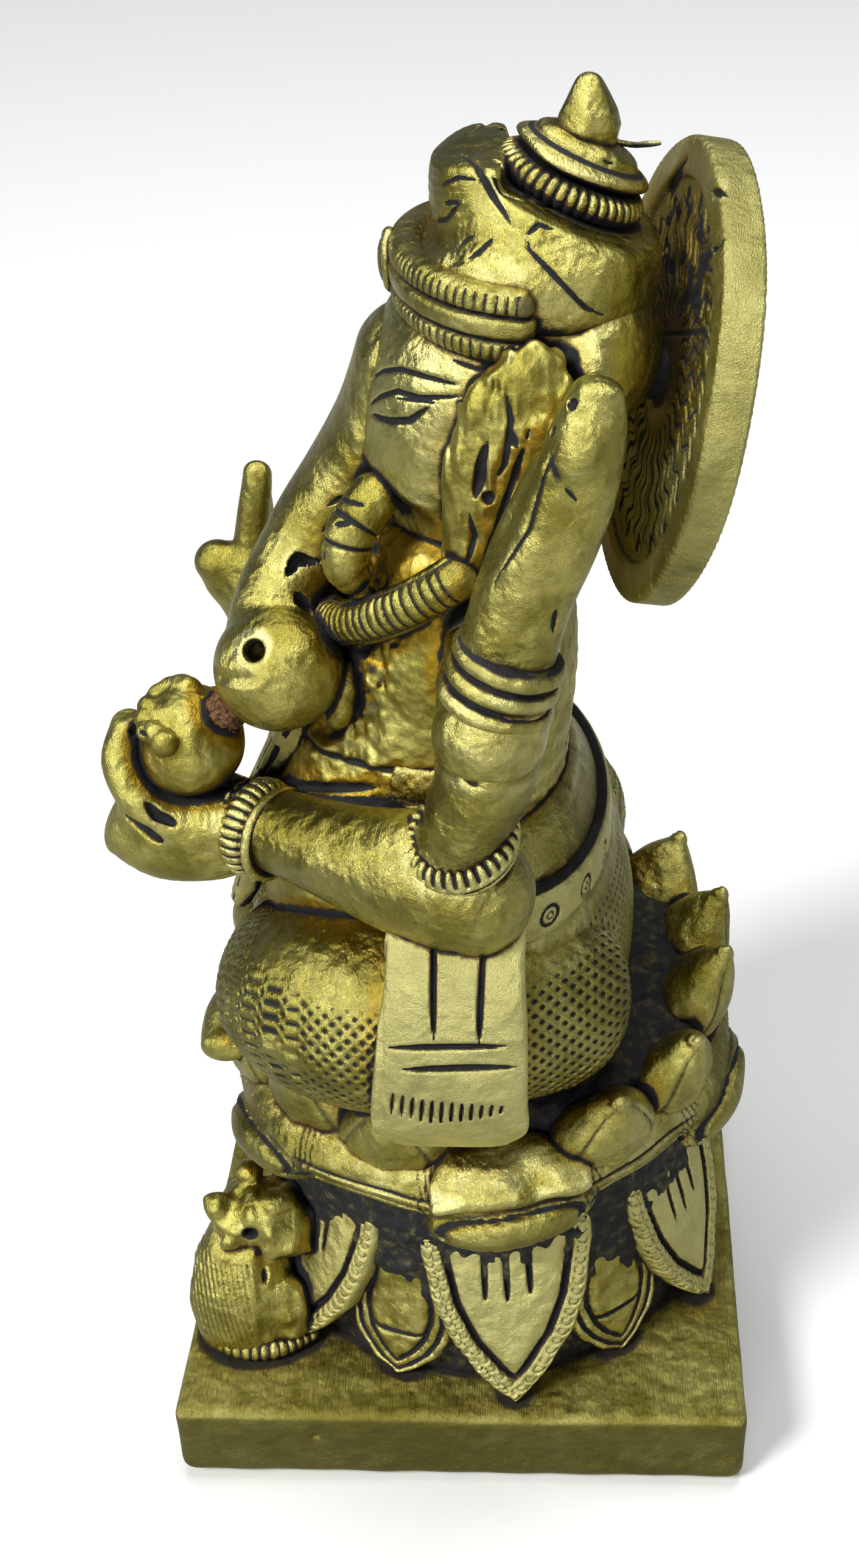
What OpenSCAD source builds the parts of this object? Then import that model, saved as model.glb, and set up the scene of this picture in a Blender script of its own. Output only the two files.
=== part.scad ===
// Seated elephant-headed deity on a lotus, with a mouse, on a square slab. Millimetres, +Z up.
// The origin is the centre of the slab's underside. The figure faces -Y, and +X is its left.

/* [Slab] */
// Width and depth of the slab
slab_w = 50; // [48:0.5:54]
// Height of the slab
slab_h = 8.5; // [6:0.5:10]
// Radius of the slab's lower edge
slab_round = 1.2; // [0.4:0.1:2]

/* [Lotus] */
// How far the flower's centre lies behind the slab's centre
lotus_y = 1.5; // [0:0.5:2]
// Height of the seat above the slab's underside
seat_z = 37; // [36:0.5:38]
// Reach of the lower petals' tips from the flower's centre
lower_reach = 23.2; // [22:0.1:23.5]
// Reach of the upper petals from the flower's centre
upper_reach = 21.8; // [20.5:0.1:23]
// Number of large lower petals
lower_count = 6; // [5:1:8]
// Number of upper petals
upper_count = 15; // [12:1:16]

/* [Halo] */
// Radius of the disc behind the head
halo_r = 16.5; // [14:0.5:17]
// Thickness of the disc's rim
halo_t = 3; // [2.4:0.1:3.4]
// Backward lean of the disc
halo_lean = 10.8; // [8:0.2:12]
// Turn of the disc towards the figure's left
halo_turn = 9.3; // [0:0.1:10]

/* [Ornaments] */
// Radius of the necklace's cord
necklace_r = 1.7; // [1:0.1:2]
// Height of the finial above its collar
finial_h = 5; // [3.6:0.1:6]

/* [Hidden] */
brass = "#b5a642";
dark_brass = "#8a7a2e";
bright_brass = "#cbbf5a";
petal_turn = 8.4;
upper_turn = 7;
halo_centre = [0, 15.4, 93.6];
topknot_base = [0, 9.6, 107.2];
topknot_lean = 24;
finial_base = [0, 10.9, 109.4];
trunk_tip = [9.8, -11.9, 74.7];
trunk_tip_r = 4.7;

// ---- Lofted shapes: a smooth run of oval rings along a path, with rounded ends ----
// A station is [x, y, z, half width, half depth].

function unit(v) = v / norm(v);
function place(s) = [s[0], s[1], s[2]];
function blend(a, b, c, d, t) =
    0.5 * (2 * b + (c - a) * t + (2 * a - 5 * b + 4 * c - d) * t * t
    + (3 * b - a - 3 * c + d) * t * t * t);
function smooth(s, steps) = [
    for (i = [0 : len(s) - 2])
        for (k = [0 : steps - 1])
            blend(s[max(i - 1, 0)], s[i], s[i + 1], s[min(i + 2, len(s) - 1)], k / steps),
    s[len(s) - 1]
];
function heading(s, i) =
    unit(place(s[min(i + 1, len(s) - 1)]) - place(s[max(i - 1, 0)]));
function end_ring(s, way, turn, bulge) =
    let (reach = bulge * min(s[3], s[4]) * sin(turn), p = place(s) + way * reach)
    [p[0], p[1], p[2], s[3] * cos(turn), s[4] * cos(turn)];
function domed(s, bulge) =
    let (last = len(s) - 1, back = -heading(s, 0), ahead = heading(s, last))
    concat(
        [for (turn = [72, 40]) end_ring(s[0], back, turn, bulge)],
        s,
        [for (turn = [40, 72]) end_ring(s[last], ahead, turn, bulge)]
    );
// Stations along an oval, from one angle to another; -90 is the front, 90 the back
function around(c, wide, deep, from, to, lift, half_w, half_d, count = 12) = [
    for (k = [0 : count])
        let (a = from + (to - from) * k / count)
        [c[0] + wide * cos(a), c[1] + deep * sin(a), c[2] + lift * sin(a), half_w, half_d]
];
function across(way, hint) = unit(hint - way * (hint * way));
function oval(s, way, hint, sides) =
    let (wide = across(way, hint), deep = cross(way, wide))
    [for (k = [0 : sides - 1])
        let (a = 360 * k / sides)
        place(s) + wide * s[3] * cos(a) + deep * s[4] * sin(a)];
function wall(rings, sides) = [
    for (i = [0 : rings - 2])
        for (k = [0 : sides - 1])
            let (next = (k + 1) % sides, low = i * sides, high = low + sides)
            each [[low + k, high + k, low + next], [low + next, high + k, high + next]]
];

module loft(stations, hint = [1, 0, 0], sides = 14, steps = 2, bulge = 1) {
    s = domed(smooth(stations, steps), bulge);
    rings = len(s);
    points = [for (i = [0 : rings - 1]) each oval(s[i], heading(s, i), hint, sides)];
    floor_face = [for (k = [0 : sides - 1]) k];
    roof_face = [for (k = [sides - 1 : -1 : 0]) (rings - 1) * sides + k];
    polyhedron(points, concat([floor_face], wall(rings, sides), [roof_face]), convexity = 4);
}

// A solid of revolution through [radius, height] points
module turned(profile) {
    rotate_extrude($fn = 48) polygon(profile);
}

module on_left(side) {
    if (side > 0) children();
    else mirror([1, 0, 0]) children();
}

// ---- Base ----

module slab_outline() {
    half = slab_w / 2;
    translate([-half, slab_round]) square([slab_w, slab_h - slab_round]);
    translate([slab_round - half, 0]) square([slab_w - 2 * slab_round, slab_h]);
    for (x = [slab_round - half, half - slab_round])
        translate([x, slab_round]) circle(slab_round, $fn = 32);
}

module slab_bar() {
    rotate([90, 0, 0]) linear_extrude(slab_w, center = true) slab_outline();
}

module plinth() {
    color(brass)
    intersection() {
        slab_bar();
        rotate([0, 0, 90]) slab_bar();
    }
}

module lotus_core() {
    color(dark_brass)
    translate([0, lotus_y, slab_h])
    turned([
        [0, 0], [17.4, 0], [16.8, 5], [16.2, 12], [16.6, 18], [18.6, 22],
        [19, 25], [17.6, seat_z - slab_h], [0, seat_z - slab_h]
    ]);
}

module lower_petal() {
    loft([
        [lower_reach - 0.4, 0, slab_h + 0.8, 0.8, 0.7],
        [lower_reach - 1.8, 0, slab_h + 4.2, 3.3, 1],
        [lower_reach - 3.4, 0, slab_h + 9, 5.4, 1.2],
        [lower_reach - 4.6, 0, slab_h + 13.5, 6.2, 1.2],
        [lower_reach - 5.2, 0, slab_h + 17.5, 6, 1]
    ], hint = [0, 1, 0], sides = 10);
}

module secondary_petal() {
    loft([
        [lower_reach - 1.8, 0, slab_h + 0.7, 0.6, 0.6],
        [lower_reach - 3.6, 0, slab_h + 4, 2.8, 0.9],
        [lower_reach - 5, 0, slab_h + 8, 4, 0.8]
    ], hint = [0, 1, 0], sides = 10);
}

module middle_petal() {
    loft([
        [19.6, 0, seat_z - 9.5, 5.4, 0.9],
        [22, 0, seat_z - 6.6, 6.2, 1.1],
        [upper_reach + 0.8, 0, seat_z - 3.6, 3.6, 0.9]
    ], hint = [0, 1, 0], sides = 10);
}

module upper_petal() {
    loft([
        [18.6, 0, seat_z - 2.6, 3.4, 1.5],
        [21.2, 0, seat_z - 0.2, 4.1, 1.8],
        [upper_reach, 0, seat_z + 3.4, 2.9, 1.5],
        [upper_reach + 0.6, 0, seat_z + 6, 1.1, 0.9]
    ], hint = [0, 1, 0], sides = 10);
}

module ring_of(count, turn) {
    translate([0, lotus_y, 0])
    for (k = [0 : count - 1])
        rotate([0, 0, turn + 360 * k / count]) children();
}

module lower_petals() {
    color(bright_brass) ring_of(lower_count, petal_turn) lower_petal();
}

module secondary_petals() {
    color(brass) ring_of(lower_count, petal_turn + 180 / lower_count) secondary_petal();
}

module middle_petals() {
    color(brass) ring_of(lower_count, petal_turn) middle_petal();
}

module upper_petals() {
    color(bright_brass) ring_of(upper_count, upper_turn) upper_petal();
}

// ---- Mouse at the front corner of the slab ----

module mouse_body() {
    color(brass)
    difference() {
        loft([
            [16.4, -19.2, slab_h + 2.6, 4, 4.6],
            [16, -19.2, slab_h + 6.6, 3.9, 4.4],
            [14.8, -18.4, slab_h + 11, 3, 3.2]
        ]);
        cube([slab_w, slab_w + 10, 2 * slab_h], center = true);
    }
}

module mouse_head() {
    color(brass)
    loft([
        [13.6, -18.2, slab_h + 14.6, 3, 3],
        [13.9, -15.4, slab_h + 14, 2, 2],
        [14.1, -13.6, slab_h + 13.4, 1.1, 1.1]
    ], hint = [1, 0, 0], sides = 12);
}

module mouse_tail() {
    color(brass)
    loft([
        [18.4, -23.4, slab_h + 1, 0.9, 0.9],
        [21.4, -20.6, slab_h + 1, 1, 1],
        [21.4, -16.4, slab_h + 1, 0.9, 0.9],
        [19.4, -13.6, slab_h + 0.9, 0.7, 0.7]
    ], hint = [0, 0, 1], sides = 10);
}

// ---- Lower body ----

module torso_solid() {
    loft([
        [0, -3, 44, 11, 9.6],
        [0, -3.6, 51, 14.4, 12.4],
        [0, -3.4, 58, 15, 13],
        [0, -1.6, 65, 12.6, 11.2],
        [0, 0.2, 71, 12.4, 10],
        [0, 1.2, 76.5, 12.4, 8.8],
        [0, 1.8, 80.4, 11.4, 7.4]
    ], sides = 20);
}

module hips_solid() {
    loft([
        [0, 4, 41, 15.4, 11.2],
        [0, 4, 45, 17.8, 12.2],
        [0, 4, 50, 18, 11.6],
        [0, 3.8, 55, 17.2, 10],
        [0, 3.4, 58.6, 15, 9.2]
    ], sides = 18, bulge = 0.35);
}

module above_seat() {
    intersection() {
        children();
        translate([0, 0, seat_z + 50]) cube([80, 80, 100], center = true);
    }
}

module hips() {
    color(brass)
    difference() {
        above_seat() hips_solid();
        torso_solid();
    }
}

module leg_solid() {
    loft([
        [13, 5, 46.5, 9.4, 9],
        [15.8, -1, 46.5, 9.6, 9],
        [14.6, -9, 45.6, 9, 9],
        [8.6, -13.2, 43.4, 6.8, 6.4],
        [1.6, -14.6, 41.6, 4.4, 4.2]
    ], hint = [0, 0, 1], sides = 14);
}

module leg(side) {
    color(brass)
    on_left(side)
    difference() {
        above_seat() leg_solid();
        hips_solid();
        torso_solid();
        translate([-40, -40, 0]) cube([40.4, 80, 80]);
    }
}

module left_leg() { leg(1); }
module right_leg() { leg(-1); }

module foot(side) {
    color(brass)
    on_left(side)
    loft([
        [2.6, -18.4, seat_z + 1.8, 1.6, 1.7],
        [6.4, -19.6, seat_z + 1.8, 1.9, 1.7],
        [10.6, -19.4, seat_z + 1.4, 2.2, 1.3]
    ], hint = [0, 1, 0], sides = 10);
}

module left_foot() { foot(1); }
module right_foot() { foot(-1); }

module sash(side) {
    color(bright_brass)
    on_left(side)
    difference() {
        loft([
            [18.6, 1.4, 58.8, 4.4, 1.1],
            [22.6, 1.4, 57.2, 4.9, 1.1],
            [25, 1.4, 53, 5.2, 1.1],
            [25.4, 1.4, 47, 5.6, 1],
            [24.8, 1.4, 42, 4.6, 0.8]
        ], hint = [0, 1, 0], sides = 12);
        leg_solid();
    }
}

module left_sash() { sash(1); }
module right_sash() { sash(-1); }

module front_sash() {
    color(bright_brass)
    difference() {
        loft([
            [4.4, -9.4, 72, 1.8, 1.2],
            [4.6, -12.4, 65.4, 2, 1.4],
            [4.2, -16, 58, 2.2, 1.3],
            [3.2, -16.6, 52, 2.4, 1.2],
            [2.4, -18.2, 49.6, 2.4, 1]
        ], sides = 10);
        torso_solid();
        leg_solid();
    }
}

module waist_belt() {
    color(bright_brass)
    difference() {
        loft(around([0, 3.6, 57.6], 17.4, 9.8, -10, 190, 0.6, 2.5, 0.9), [0, 0, 1], 10, 1);
        hips_solid();
        torso_solid();
    }
}

// ---- Upper body ----

module torso() {
    color(dark_brass) above_seat() torso_solid();
}

module back_wrap() {
    color(brass)
    difference() {
        loft(around([0, -0.8, 64.6], 12.8, 10.4, -8, 188, -0.6, 2.1, 0.9), [0, 0, 1], 10, 1);
        torso_solid();
    }
}

module necklace() {
    color(bright_brass)
    difference() {
        loft(around([0, 1.6, 83.6], 13, 10.8, -180, 0, 7.4, necklace_r, necklace_r), [0, 0.3, 1],
            10, 1);
        torso_solid();
        arm_base_solid();
        mirror([1, 0, 0]) arm_base_solid();
    }
}

module pendant() {
    color(bright_brass)
    difference() {
        loft([
            [8.6, -6.6, 74.4, 1.6, 1.2], [8.2, -7.8, 71.6, 2.2, 1.4], [8, -8, 68.8, 1.4, 1]
        ], sides = 10);
        torso_solid();
    }
}

// Front arms: the left one holds the sweets, the right one blesses

module front_arm_solid() {
    loft([
        [15.4, 2.6, 75.4, 5, 5],
        [19, 3, 70.4, 5, 5.2],
        [19.8, 3.2, 64.8, 4.6, 4.8],
        [18, -3, 63, 4.4, 4.4],
        [14.8, -9.4, 63.2, 3.9, 4],
        [12.4, -13.4, 63.2, 3.7, 3.8]
    ], hint = [0.3, 0.2, 1], sides = 14);
}

module front_arm(side) {
    color(brass)
    on_left(side)
    difference() {
        front_arm_solid();
        torso_solid();
        leg_solid();
        wrist_gap();
    }
}

// Everything forward of the wrist plane belongs to the hand
module wrist_gap() {
    translate([12, -14.2, 63]) rotate([0, 0, -32]) translate([0, -10, 0])
        cube([30, 20, 30], center = true);
}

module front_left_arm() { front_arm(1); }
module front_right_arm() { front_arm(-1); }

module bangle_stack(side) {
    color(bright_brass)
    on_left(side)
    translate([12, -14.2, 63.2])
    rotate([0, 0, -32])
    rotate([90, 0, 0])
    turned([[0, 0], [4.1, 0], [4.6, 0.6], [4.6, 2.6], [4.1, 3.2], [0, 3.2]]);
}

module front_left_bangles() { bangle_stack(1); }
module front_right_bangles() { bangle_stack(-1); }

module armlet(side) {
    color(bright_brass)
    on_left(side)
    difference() {
        loft(around([19.6, 3.2, 67.2], 5, 5.2, -110, 110, 0, 1.5, 1), [0, 0, 1], 10, 1, 0.4);
        front_arm_solid();
        torso_solid();
    }
}

module front_left_armlet() { armlet(1); }
module front_right_armlet() { armlet(-1); }

module front_left_hand() {
    color(brass)
    difference() {
        loft([
            [10.8, -16.8, 63, 3.8, 3.6],
            [10, -20.2, 62.4, 4.9, 4.3],
            [9.6, -23, 61.8, 4.5, 3.7]
        ], hint = [0, 0, 1], sides = 14);
        sweets_solid();
        bangle_cut();
    }
}

module bangle_cut() {
    translate([10.4, -16.8, 63.2]) rotate([0, 0, -32]) translate([0, 10, 0])
        cube([30, 20, 30], center = true);
}

module sweets_solid() {
    translate([9.6, -20.2, 68.6]) sphere(4.6, $fn = 32);
}

module sweets_bowl() {
    color(bright_brass) sweets_solid();
}

module braze_spot() {
    color("#6b4a24")
    difference() {
        translate([9.8, -16.4, 71.4]) sphere(1.5, $fn = 24);
        sweets_solid();
        translate(trunk_tip) sphere(trunk_tip_r, $fn = 32);
    }
}

module front_right_hand() {
    color(brass)
    difference() {
        union() {
            loft([
                [-11.4, -17.2, 65.4, 3, 2.4],
                [-12.6, -18.2, 70, 3.4, 2.2],
                [-12.8, -17.2, 75, 3.2, 1.8],
                [-12.8, -16.6, 79.6, 2.2, 1.4]
            ], sides = 12);
            loft([
                [-10.6, -19, 68.6, 1.5, 1.5], [-10.4, -21, 71.4, 1.4, 1.4]
            ], sides = 10);
        }
        mirror([1, 0, 0]) bangle_cut();
    }
}

// Rear arms, raised beside the head

module arm_base_solid() {
    loft([
        [12.4, 4.8, 78, 4, 4],
        [16.2, 4.7, 77.2, 4.2, 4.3],
        [19.8, 4.7, 77.2, 4.2, 4.4]
    ], hint = [0, 1, 0], sides = 16, bulge = 1.1);
}

module rear_arm(side) {
    color(brass)
    on_left(side)
    difference() {
        arm_base_solid();
        torso_solid();
        front_arm_solid();
        rear_bangle_solid();
    }
}

module rear_left_arm() { rear_arm(1); }
module rear_right_arm() { rear_arm(-1); }

module rear_bangle_solid() {
    translate([19, 5.4, 79.4])
    turned([[0, 0], [4, 0], [4.4, 1], [4.1, 1.9], [4.3, 2.9], [4, 4.6], [0, 4.6]]);
}

module rear_bangles(side) {
    color(bright_brass)
    on_left(side)
    rear_bangle_solid();
}

module rear_left_bangles() { rear_bangles(1); }
module rear_right_bangles() { rear_bangles(-1); }

module rear_hand(side) {
    color(brass)
    on_left(side)
    difference() {
        loft([
            [18.8, 6.4, 86, 2.9, 3.3],
            [18.8, 8.2, 90, 2.8, 3.4],
            [19, 10.4, 95.6, 2.7, 3.2],
            [19.2, 11.4, 99, 2.1, 2.4]
        ], sides = 14);
        translate([19, 5.8, 74]) cube([20, 20, 20], center = true);
    }
}

module rear_left_hand() { rear_hand(1); }
module rear_right_hand() { rear_hand(-1); }

// ---- Head ----

module head_solid() {
    loft([
        [0, 1.2, 84.6, 8.4, 6.6],
        [0, 2.4, 88, 10.8, 8.2],
        [0, 4.6, 93, 11.4, 9.6],
        [0, 5.8, 98, 10.8, 9.6],
        [0, 6.2, 101, 10, 8.8]
    ], sides = 20, bulge = 0.3);
}

module head() {
    color(brass)
    difference() {
        head_solid();
        torso_solid();
        halo_pin_solid();
        halo_blank();
    }
}

module trunk_solid() {
    loft([
        [0, -2, 96, 3.4, 2.6],
        [0, -4.2, 91, 3.2, 2.7],
        [1, -7.4, 86, 3, 2.3],
        [3, -10.7, 81.6, 2.7, 2.2],
        [6, -12.8, 77.8, 2.6, 2.3]
    ], sides = 12);
}

module trunk() {
    color(brass)
    difference() {
        union() {
            trunk_solid();
            translate(trunk_tip) sphere(trunk_tip_r, $fn = 32);
        }
        head_solid();
    }
}

module tusk(side) {
    color(bright_brass)
    on_left(side)
    difference() {
        loft([
            [8, -4.6, 86.4, 1.5, 1.5], [9.6, -6.4, 84.8, 1.3, 1.3], [9.9, -6.8, 83, 0.8, 0.8]
        ], sides = 10);
        head_solid();
    }
}

module left_tusk() { tusk(1); }
module right_tusk() { tusk(-1); }

module ear(side) {
    color(brass)
    on_left(side)
    difference() {
        loft([
            [12, 4.4, 84.6, 2, 2.2],
            [12.6, 5.6, 88, 1.8, 4],
            [12.8, 6.6, 92.4, 1.6, 4.6],
            [12, 6.6, 97.4, 1.6, 3]
        ], sides = 12);
        head_solid();
        rear_hand_room();
    }
}

module rear_hand_room() {
    translate([26, 8, 92]) cube([20, 30, 40], center = true);
}

module left_ear() { ear(1); }
module right_ear() { ear(-1); }

module headband() {
    color(bright_brass)
    difference() {
        loft(around([0, 5.9, 101.2], 10.4, 8.2, -206, 26, -0.6, 2.3, 0.9), [0, 0, 1], 10, 1);
        head_solid();
        crown_solid();
    }
}

module headband_gem() {
    color(bright_brass)
    difference() {
        translate([0, -2, 101.9]) rotate([90, 0, 0])
            cylinder(h = 1.9, r1 = 1.9, r2 = 1.4, $fn = 32);
        translate([0, -1.4, 101.9]) cube([8, 3.6, 6], center = true);
    }
}

module crown_solid() {
    loft([
        [0, 6.4, 103, 9.6, 8.2],
        [0, 6.2, 105.6, 9, 7.6],
        [0, 4.8, 109, 7.8, 5.5]
    ], sides = 18, bulge = 0.3);
}

module crown() {
    color(brass)
    difference() {
        crown_solid();
        head_solid();
        topknot() translate([0, 0, -0.9]) cylinder(h = 20, r = 5.4, $fn = 48);
        halo_blank();
    }
}

// The topknot leans back from the crown
module topknot() {
    translate(topknot_base) rotate([-topknot_lean, 0, 0]) children();
}

module crown_bead_ring() {
    color(dark_brass)
    difference() {
        topknot()
            turned([[0, -0.9], [4.8, -0.9], [5.3, -0.3], [5.3, 0.3], [4.8, 0.9], [0, 0.9]]);
        halo_blank();
    }
}

module crown_collar_solid() {
    topknot() turned([[0, 0.9], [3.9, 0.9], [4.6, 1.6], [4.6, 2.2], [3.6, 2.9], [0, 2.9]]);
}

module crown_collar() {
    color(bright_brass)
    difference() {
        crown_collar_solid();
        halo_blank();
    }
}

module finial() {
    color(brass)
    difference() {
        translate(finial_base)
            turned([
                [0, 0], [2.1, 0], [2.3, finial_h * 0.26], [2.1, finial_h * 0.52],
                [1, finial_h * 0.94], [0, finial_h]
            ]);
        crown_collar_solid();
    }
}

// ---- Disc behind the head ----

module halo_axis() {
    translate(halo_centre) rotate([90 - halo_lean, 0, halo_turn]) children();
}

// The disc's whole outline, with its front face at the axis origin
module halo_blank() {
    halo_axis() translate([0, 0, -halo_t]) cylinder(h = halo_t, r = halo_r, $fn = 64);
}

module halo_disc() {
    color(brass)
    difference() {
        halo_axis()
        turned([
            [0, -halo_t], [halo_r - 0.8, -halo_t], [halo_r, 0.6 - halo_t], [halo_r, -0.4],
            [halo_r - 0.5, 0], [halo_r - 2.4, 0], [halo_r - 2.8, -0.7], [6, -0.7], [5, 0], [0, 0]
        ]);
        halo_pin_solid();
    }
}

module halo_pin_solid() {
    halo_axis() translate([0, 0, -2]) cylinder(h = 5.6, r = 1.6, $fn = 48);
}

module halo_pin() {
    color(dark_brass) halo_pin_solid();
}

plinth();
lotus_core();
lower_petals();
secondary_petals();
middle_petals();
upper_petals();
mouse_body();
mouse_head();
mouse_tail();
hips();
left_leg();
right_leg();
left_foot();
right_foot();
left_sash();
right_sash();
front_sash();
waist_belt();
torso();
back_wrap();
necklace();
pendant();
front_left_arm();
front_left_hand();
front_left_bangles();
front_left_armlet();
front_right_arm();
front_right_hand();
front_right_bangles();
front_right_armlet();
rear_left_arm();
rear_left_hand();
rear_left_bangles();
rear_right_arm();
rear_right_hand();
rear_right_bangles();
sweets_bowl();
braze_spot();
head();
trunk();
left_tusk();
right_tusk();
left_ear();
right_ear();
headband();
headband_gem();
crown();
crown_bead_ring();
crown_collar();
finial();
halo_disc();
halo_pin();
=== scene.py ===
import math
from concurrent.futures import ThreadPoolExecutor
from functools import reduce

import bpy
import numpy as np
import openvdb
from mathutils import Matrix, Vector


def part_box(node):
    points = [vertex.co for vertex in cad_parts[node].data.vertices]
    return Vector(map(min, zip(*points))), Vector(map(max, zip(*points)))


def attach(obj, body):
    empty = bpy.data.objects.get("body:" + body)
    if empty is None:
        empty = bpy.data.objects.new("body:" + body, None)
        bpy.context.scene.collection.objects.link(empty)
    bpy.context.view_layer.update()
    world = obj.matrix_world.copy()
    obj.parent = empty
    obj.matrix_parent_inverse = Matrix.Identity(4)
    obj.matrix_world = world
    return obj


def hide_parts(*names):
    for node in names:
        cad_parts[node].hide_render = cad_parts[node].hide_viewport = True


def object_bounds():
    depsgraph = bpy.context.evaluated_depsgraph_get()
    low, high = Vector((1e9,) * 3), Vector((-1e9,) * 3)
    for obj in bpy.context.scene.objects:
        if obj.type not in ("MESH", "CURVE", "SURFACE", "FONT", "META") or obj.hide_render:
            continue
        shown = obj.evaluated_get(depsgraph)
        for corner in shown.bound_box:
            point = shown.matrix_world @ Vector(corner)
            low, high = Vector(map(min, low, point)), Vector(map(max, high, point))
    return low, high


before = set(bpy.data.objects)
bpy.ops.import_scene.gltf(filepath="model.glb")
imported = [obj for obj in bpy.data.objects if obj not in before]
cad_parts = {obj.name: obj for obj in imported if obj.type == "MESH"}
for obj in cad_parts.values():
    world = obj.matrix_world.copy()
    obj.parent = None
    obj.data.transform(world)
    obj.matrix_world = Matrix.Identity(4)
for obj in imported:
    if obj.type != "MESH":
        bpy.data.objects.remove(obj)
CAD_BOX = [[float(v) for v in corner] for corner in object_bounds()]
BODY = "root"
MM = 0.001
FAR = 1e6
COARSE = 1.0


# ---- Places: every shape is laid out round its CAD node's box ----

def node_centre(node):
    low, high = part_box(node)
    return (np.array(low) + np.array(high)) * 0.5 / MM


# ---- Small maths on arrays of points, always 3 rows of millimetres ----

def col(v):
    return np.array(v, np.float32).reshape(3, 1)


def clamp01(x):
    return np.clip(x, 0.0, 1.0)


def most(*masks):
    """The largest of several masks, point by point."""
    return reduce(np.maximum, masks)


def mark(x, at, wide):
    """1 where x is at that value, falling to 0 that far to either side of it."""
    return clamp01(1 - np.abs(x - at) / wide)


def ribs(x, pitch, wide):
    """1 down the middle of each rib across x, 0 between the ribs."""
    return clamp01(1 - np.abs((x / pitch) % 1 - 0.5) * pitch / wide)


def ramp(low, high, x):
    t = clamp01((x - low) / (high - low))
    return t * t * (3 - 2 * t)


def smin(a, b, k):
    h = clamp01(0.5 + 0.5 * (b - a) / k)
    return b + (a - b) * h - k * h * (1 - h)


def smax(a, b, k):
    return -smin(-a, -b, k)


def turn_z(degrees):
    c, s = math.cos(math.radians(degrees)), math.sin(math.radians(degrees))
    return np.array([[c, -s, 0], [s, c, 0], [0, 0, 1]], np.float32)


def turn_x(degrees):
    c, s = math.cos(math.radians(degrees)), math.sin(math.radians(degrees))
    return np.array([[1, 0, 0], [0, c, -s], [0, s, c]], np.float32)


def turn_y(degrees):
    c, s = math.cos(math.radians(degrees)), math.sin(math.radians(degrees))
    return np.array([[c, 0, s], [0, 1, 0], [-s, 0, c]], np.float32)


def to_local(p, centre, turn=None):
    q = p - col(centre)
    return q if turn is None else turn.T @ q


def mirror_x(p):
    q = p.copy()
    q[0] = -q[0]
    return q


def ellipsoid(p, centre, radii, turn=None):
    q = to_local(p, centre, turn)
    r = col(radii)
    k0 = np.sqrt(((q / r) ** 2).sum(0))
    k1 = np.sqrt(((q / (r * r)) ** 2).sum(0)) + 1e-6
    return k0 * (k0 - 1) / k1


def line_gap(p, points):
    """Distance to a polyline, and how far along it the nearest point is, 0 to 1."""
    pts = np.array(points, np.float32)
    best = np.full(p.shape[1], FAR, np.float32)
    along = np.zeros(p.shape[1], np.float32)
    total = max(float(np.linalg.norm(np.diff(pts, axis=0), axis=1).sum()), 1e-6)
    done = 0.0
    for a, b in zip(pts[:-1], pts[1:]):
        way = b - a
        size = float(np.linalg.norm(way))
        rel = p - col(a)
        t = clamp01((way @ rel) / max(size * size, 1e-9))
        gap = np.sqrt(((rel - col(way) * t) ** 2).sum(0))
        near = gap < best
        best = np.where(near, gap, best)
        along = np.where(near, (done + t * size) / total, along)
        done += size
    return best, along


def flat_gap(x, y, a, b):
    """Distance in a flat chart to the stroke from a to b, and how far along it, 0 to 1."""
    wx, wy = b[0] - a[0], b[1] - a[1]
    t = clamp01(((x - a[0]) * wx + (y - a[1]) * wy) / (wx * wx + wy * wy))
    return np.hypot(x - a[0] - wx * t, y - a[1] - wy * t), t


def stroke(gap, along, half_width, taper=1.0):
    """A tapered V cut: 1 on its line, 0 past its edges."""
    thin = 1 - taper * np.abs(2 * along - 1) ** 3
    return clamp01(1 - gap / np.maximum(half_width * thin, 0.02))


def waves(p, size, seed, count=7):
    """Smooth uneven swell, about -1 to 1, with bumps of about that size."""
    rng = np.random.RandomState(seed)
    total = np.zeros(p.shape[1], np.float32)
    for _ in range(count):
        way = rng.normal(size=3)
        way *= 2 * math.pi / (size * rng.uniform(1.5, 3.2)) / np.linalg.norm(way)
        total += np.sin(way.astype(np.float32) @ p + rng.uniform(0, 6.28))
    return total / (count * 0.5)


def no_mask(p):
    return np.zeros(p.shape[1], np.float32)


def grain(p, size, seed):
    """Rough value noise, 0 to 1, with cells of that size."""
    q = p / size
    base = np.floor(q).astype(np.int64)
    f = (q - base).astype(np.float32)
    f = f * f * (3 - 2 * f)
    total = np.zeros(p.shape[1], np.float32)
    for i in (0, 1):
        for j in (0, 1):
            for k in (0, 1):
                h = (base[0] + i) * 73856093 ^ (base[1] + j) * 19349663 ^ (base[2] + k) * 83492791
                h = (h ^ seed * 2654435761) & 0xFFFFFFFF
                h = (h ^ (h >> 15)) * 2246822519 & 0xFFFFFFFF
                h = (h ^ (h >> 13)) & 0xFFFF
                w = (f[0] if i else 1 - f[0]) * (f[1] if j else 1 - f[1]) * (f[2] if k else 1 - f[2])
                total += w * (h / 65535.0)
    return total


def smooth_rows(rows, fine):
    rows = np.array(rows, float)
    last = len(rows) - 1
    made = []
    for i in range(last):
        a, b = rows[max(i - 1, 0)], rows[i]
        c, d = rows[i + 1], rows[min(i + 2, last)]
        for t in np.arange(fine) / fine:
            made.append(0.5 * (2 * b + (c - a) * t + (2 * a - 5 * b + 4 * c - d) * t * t
                               + (3 * b - a - 3 * c + d) * t ** 3))
    made.append(rows[last])
    return np.array(made)


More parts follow.
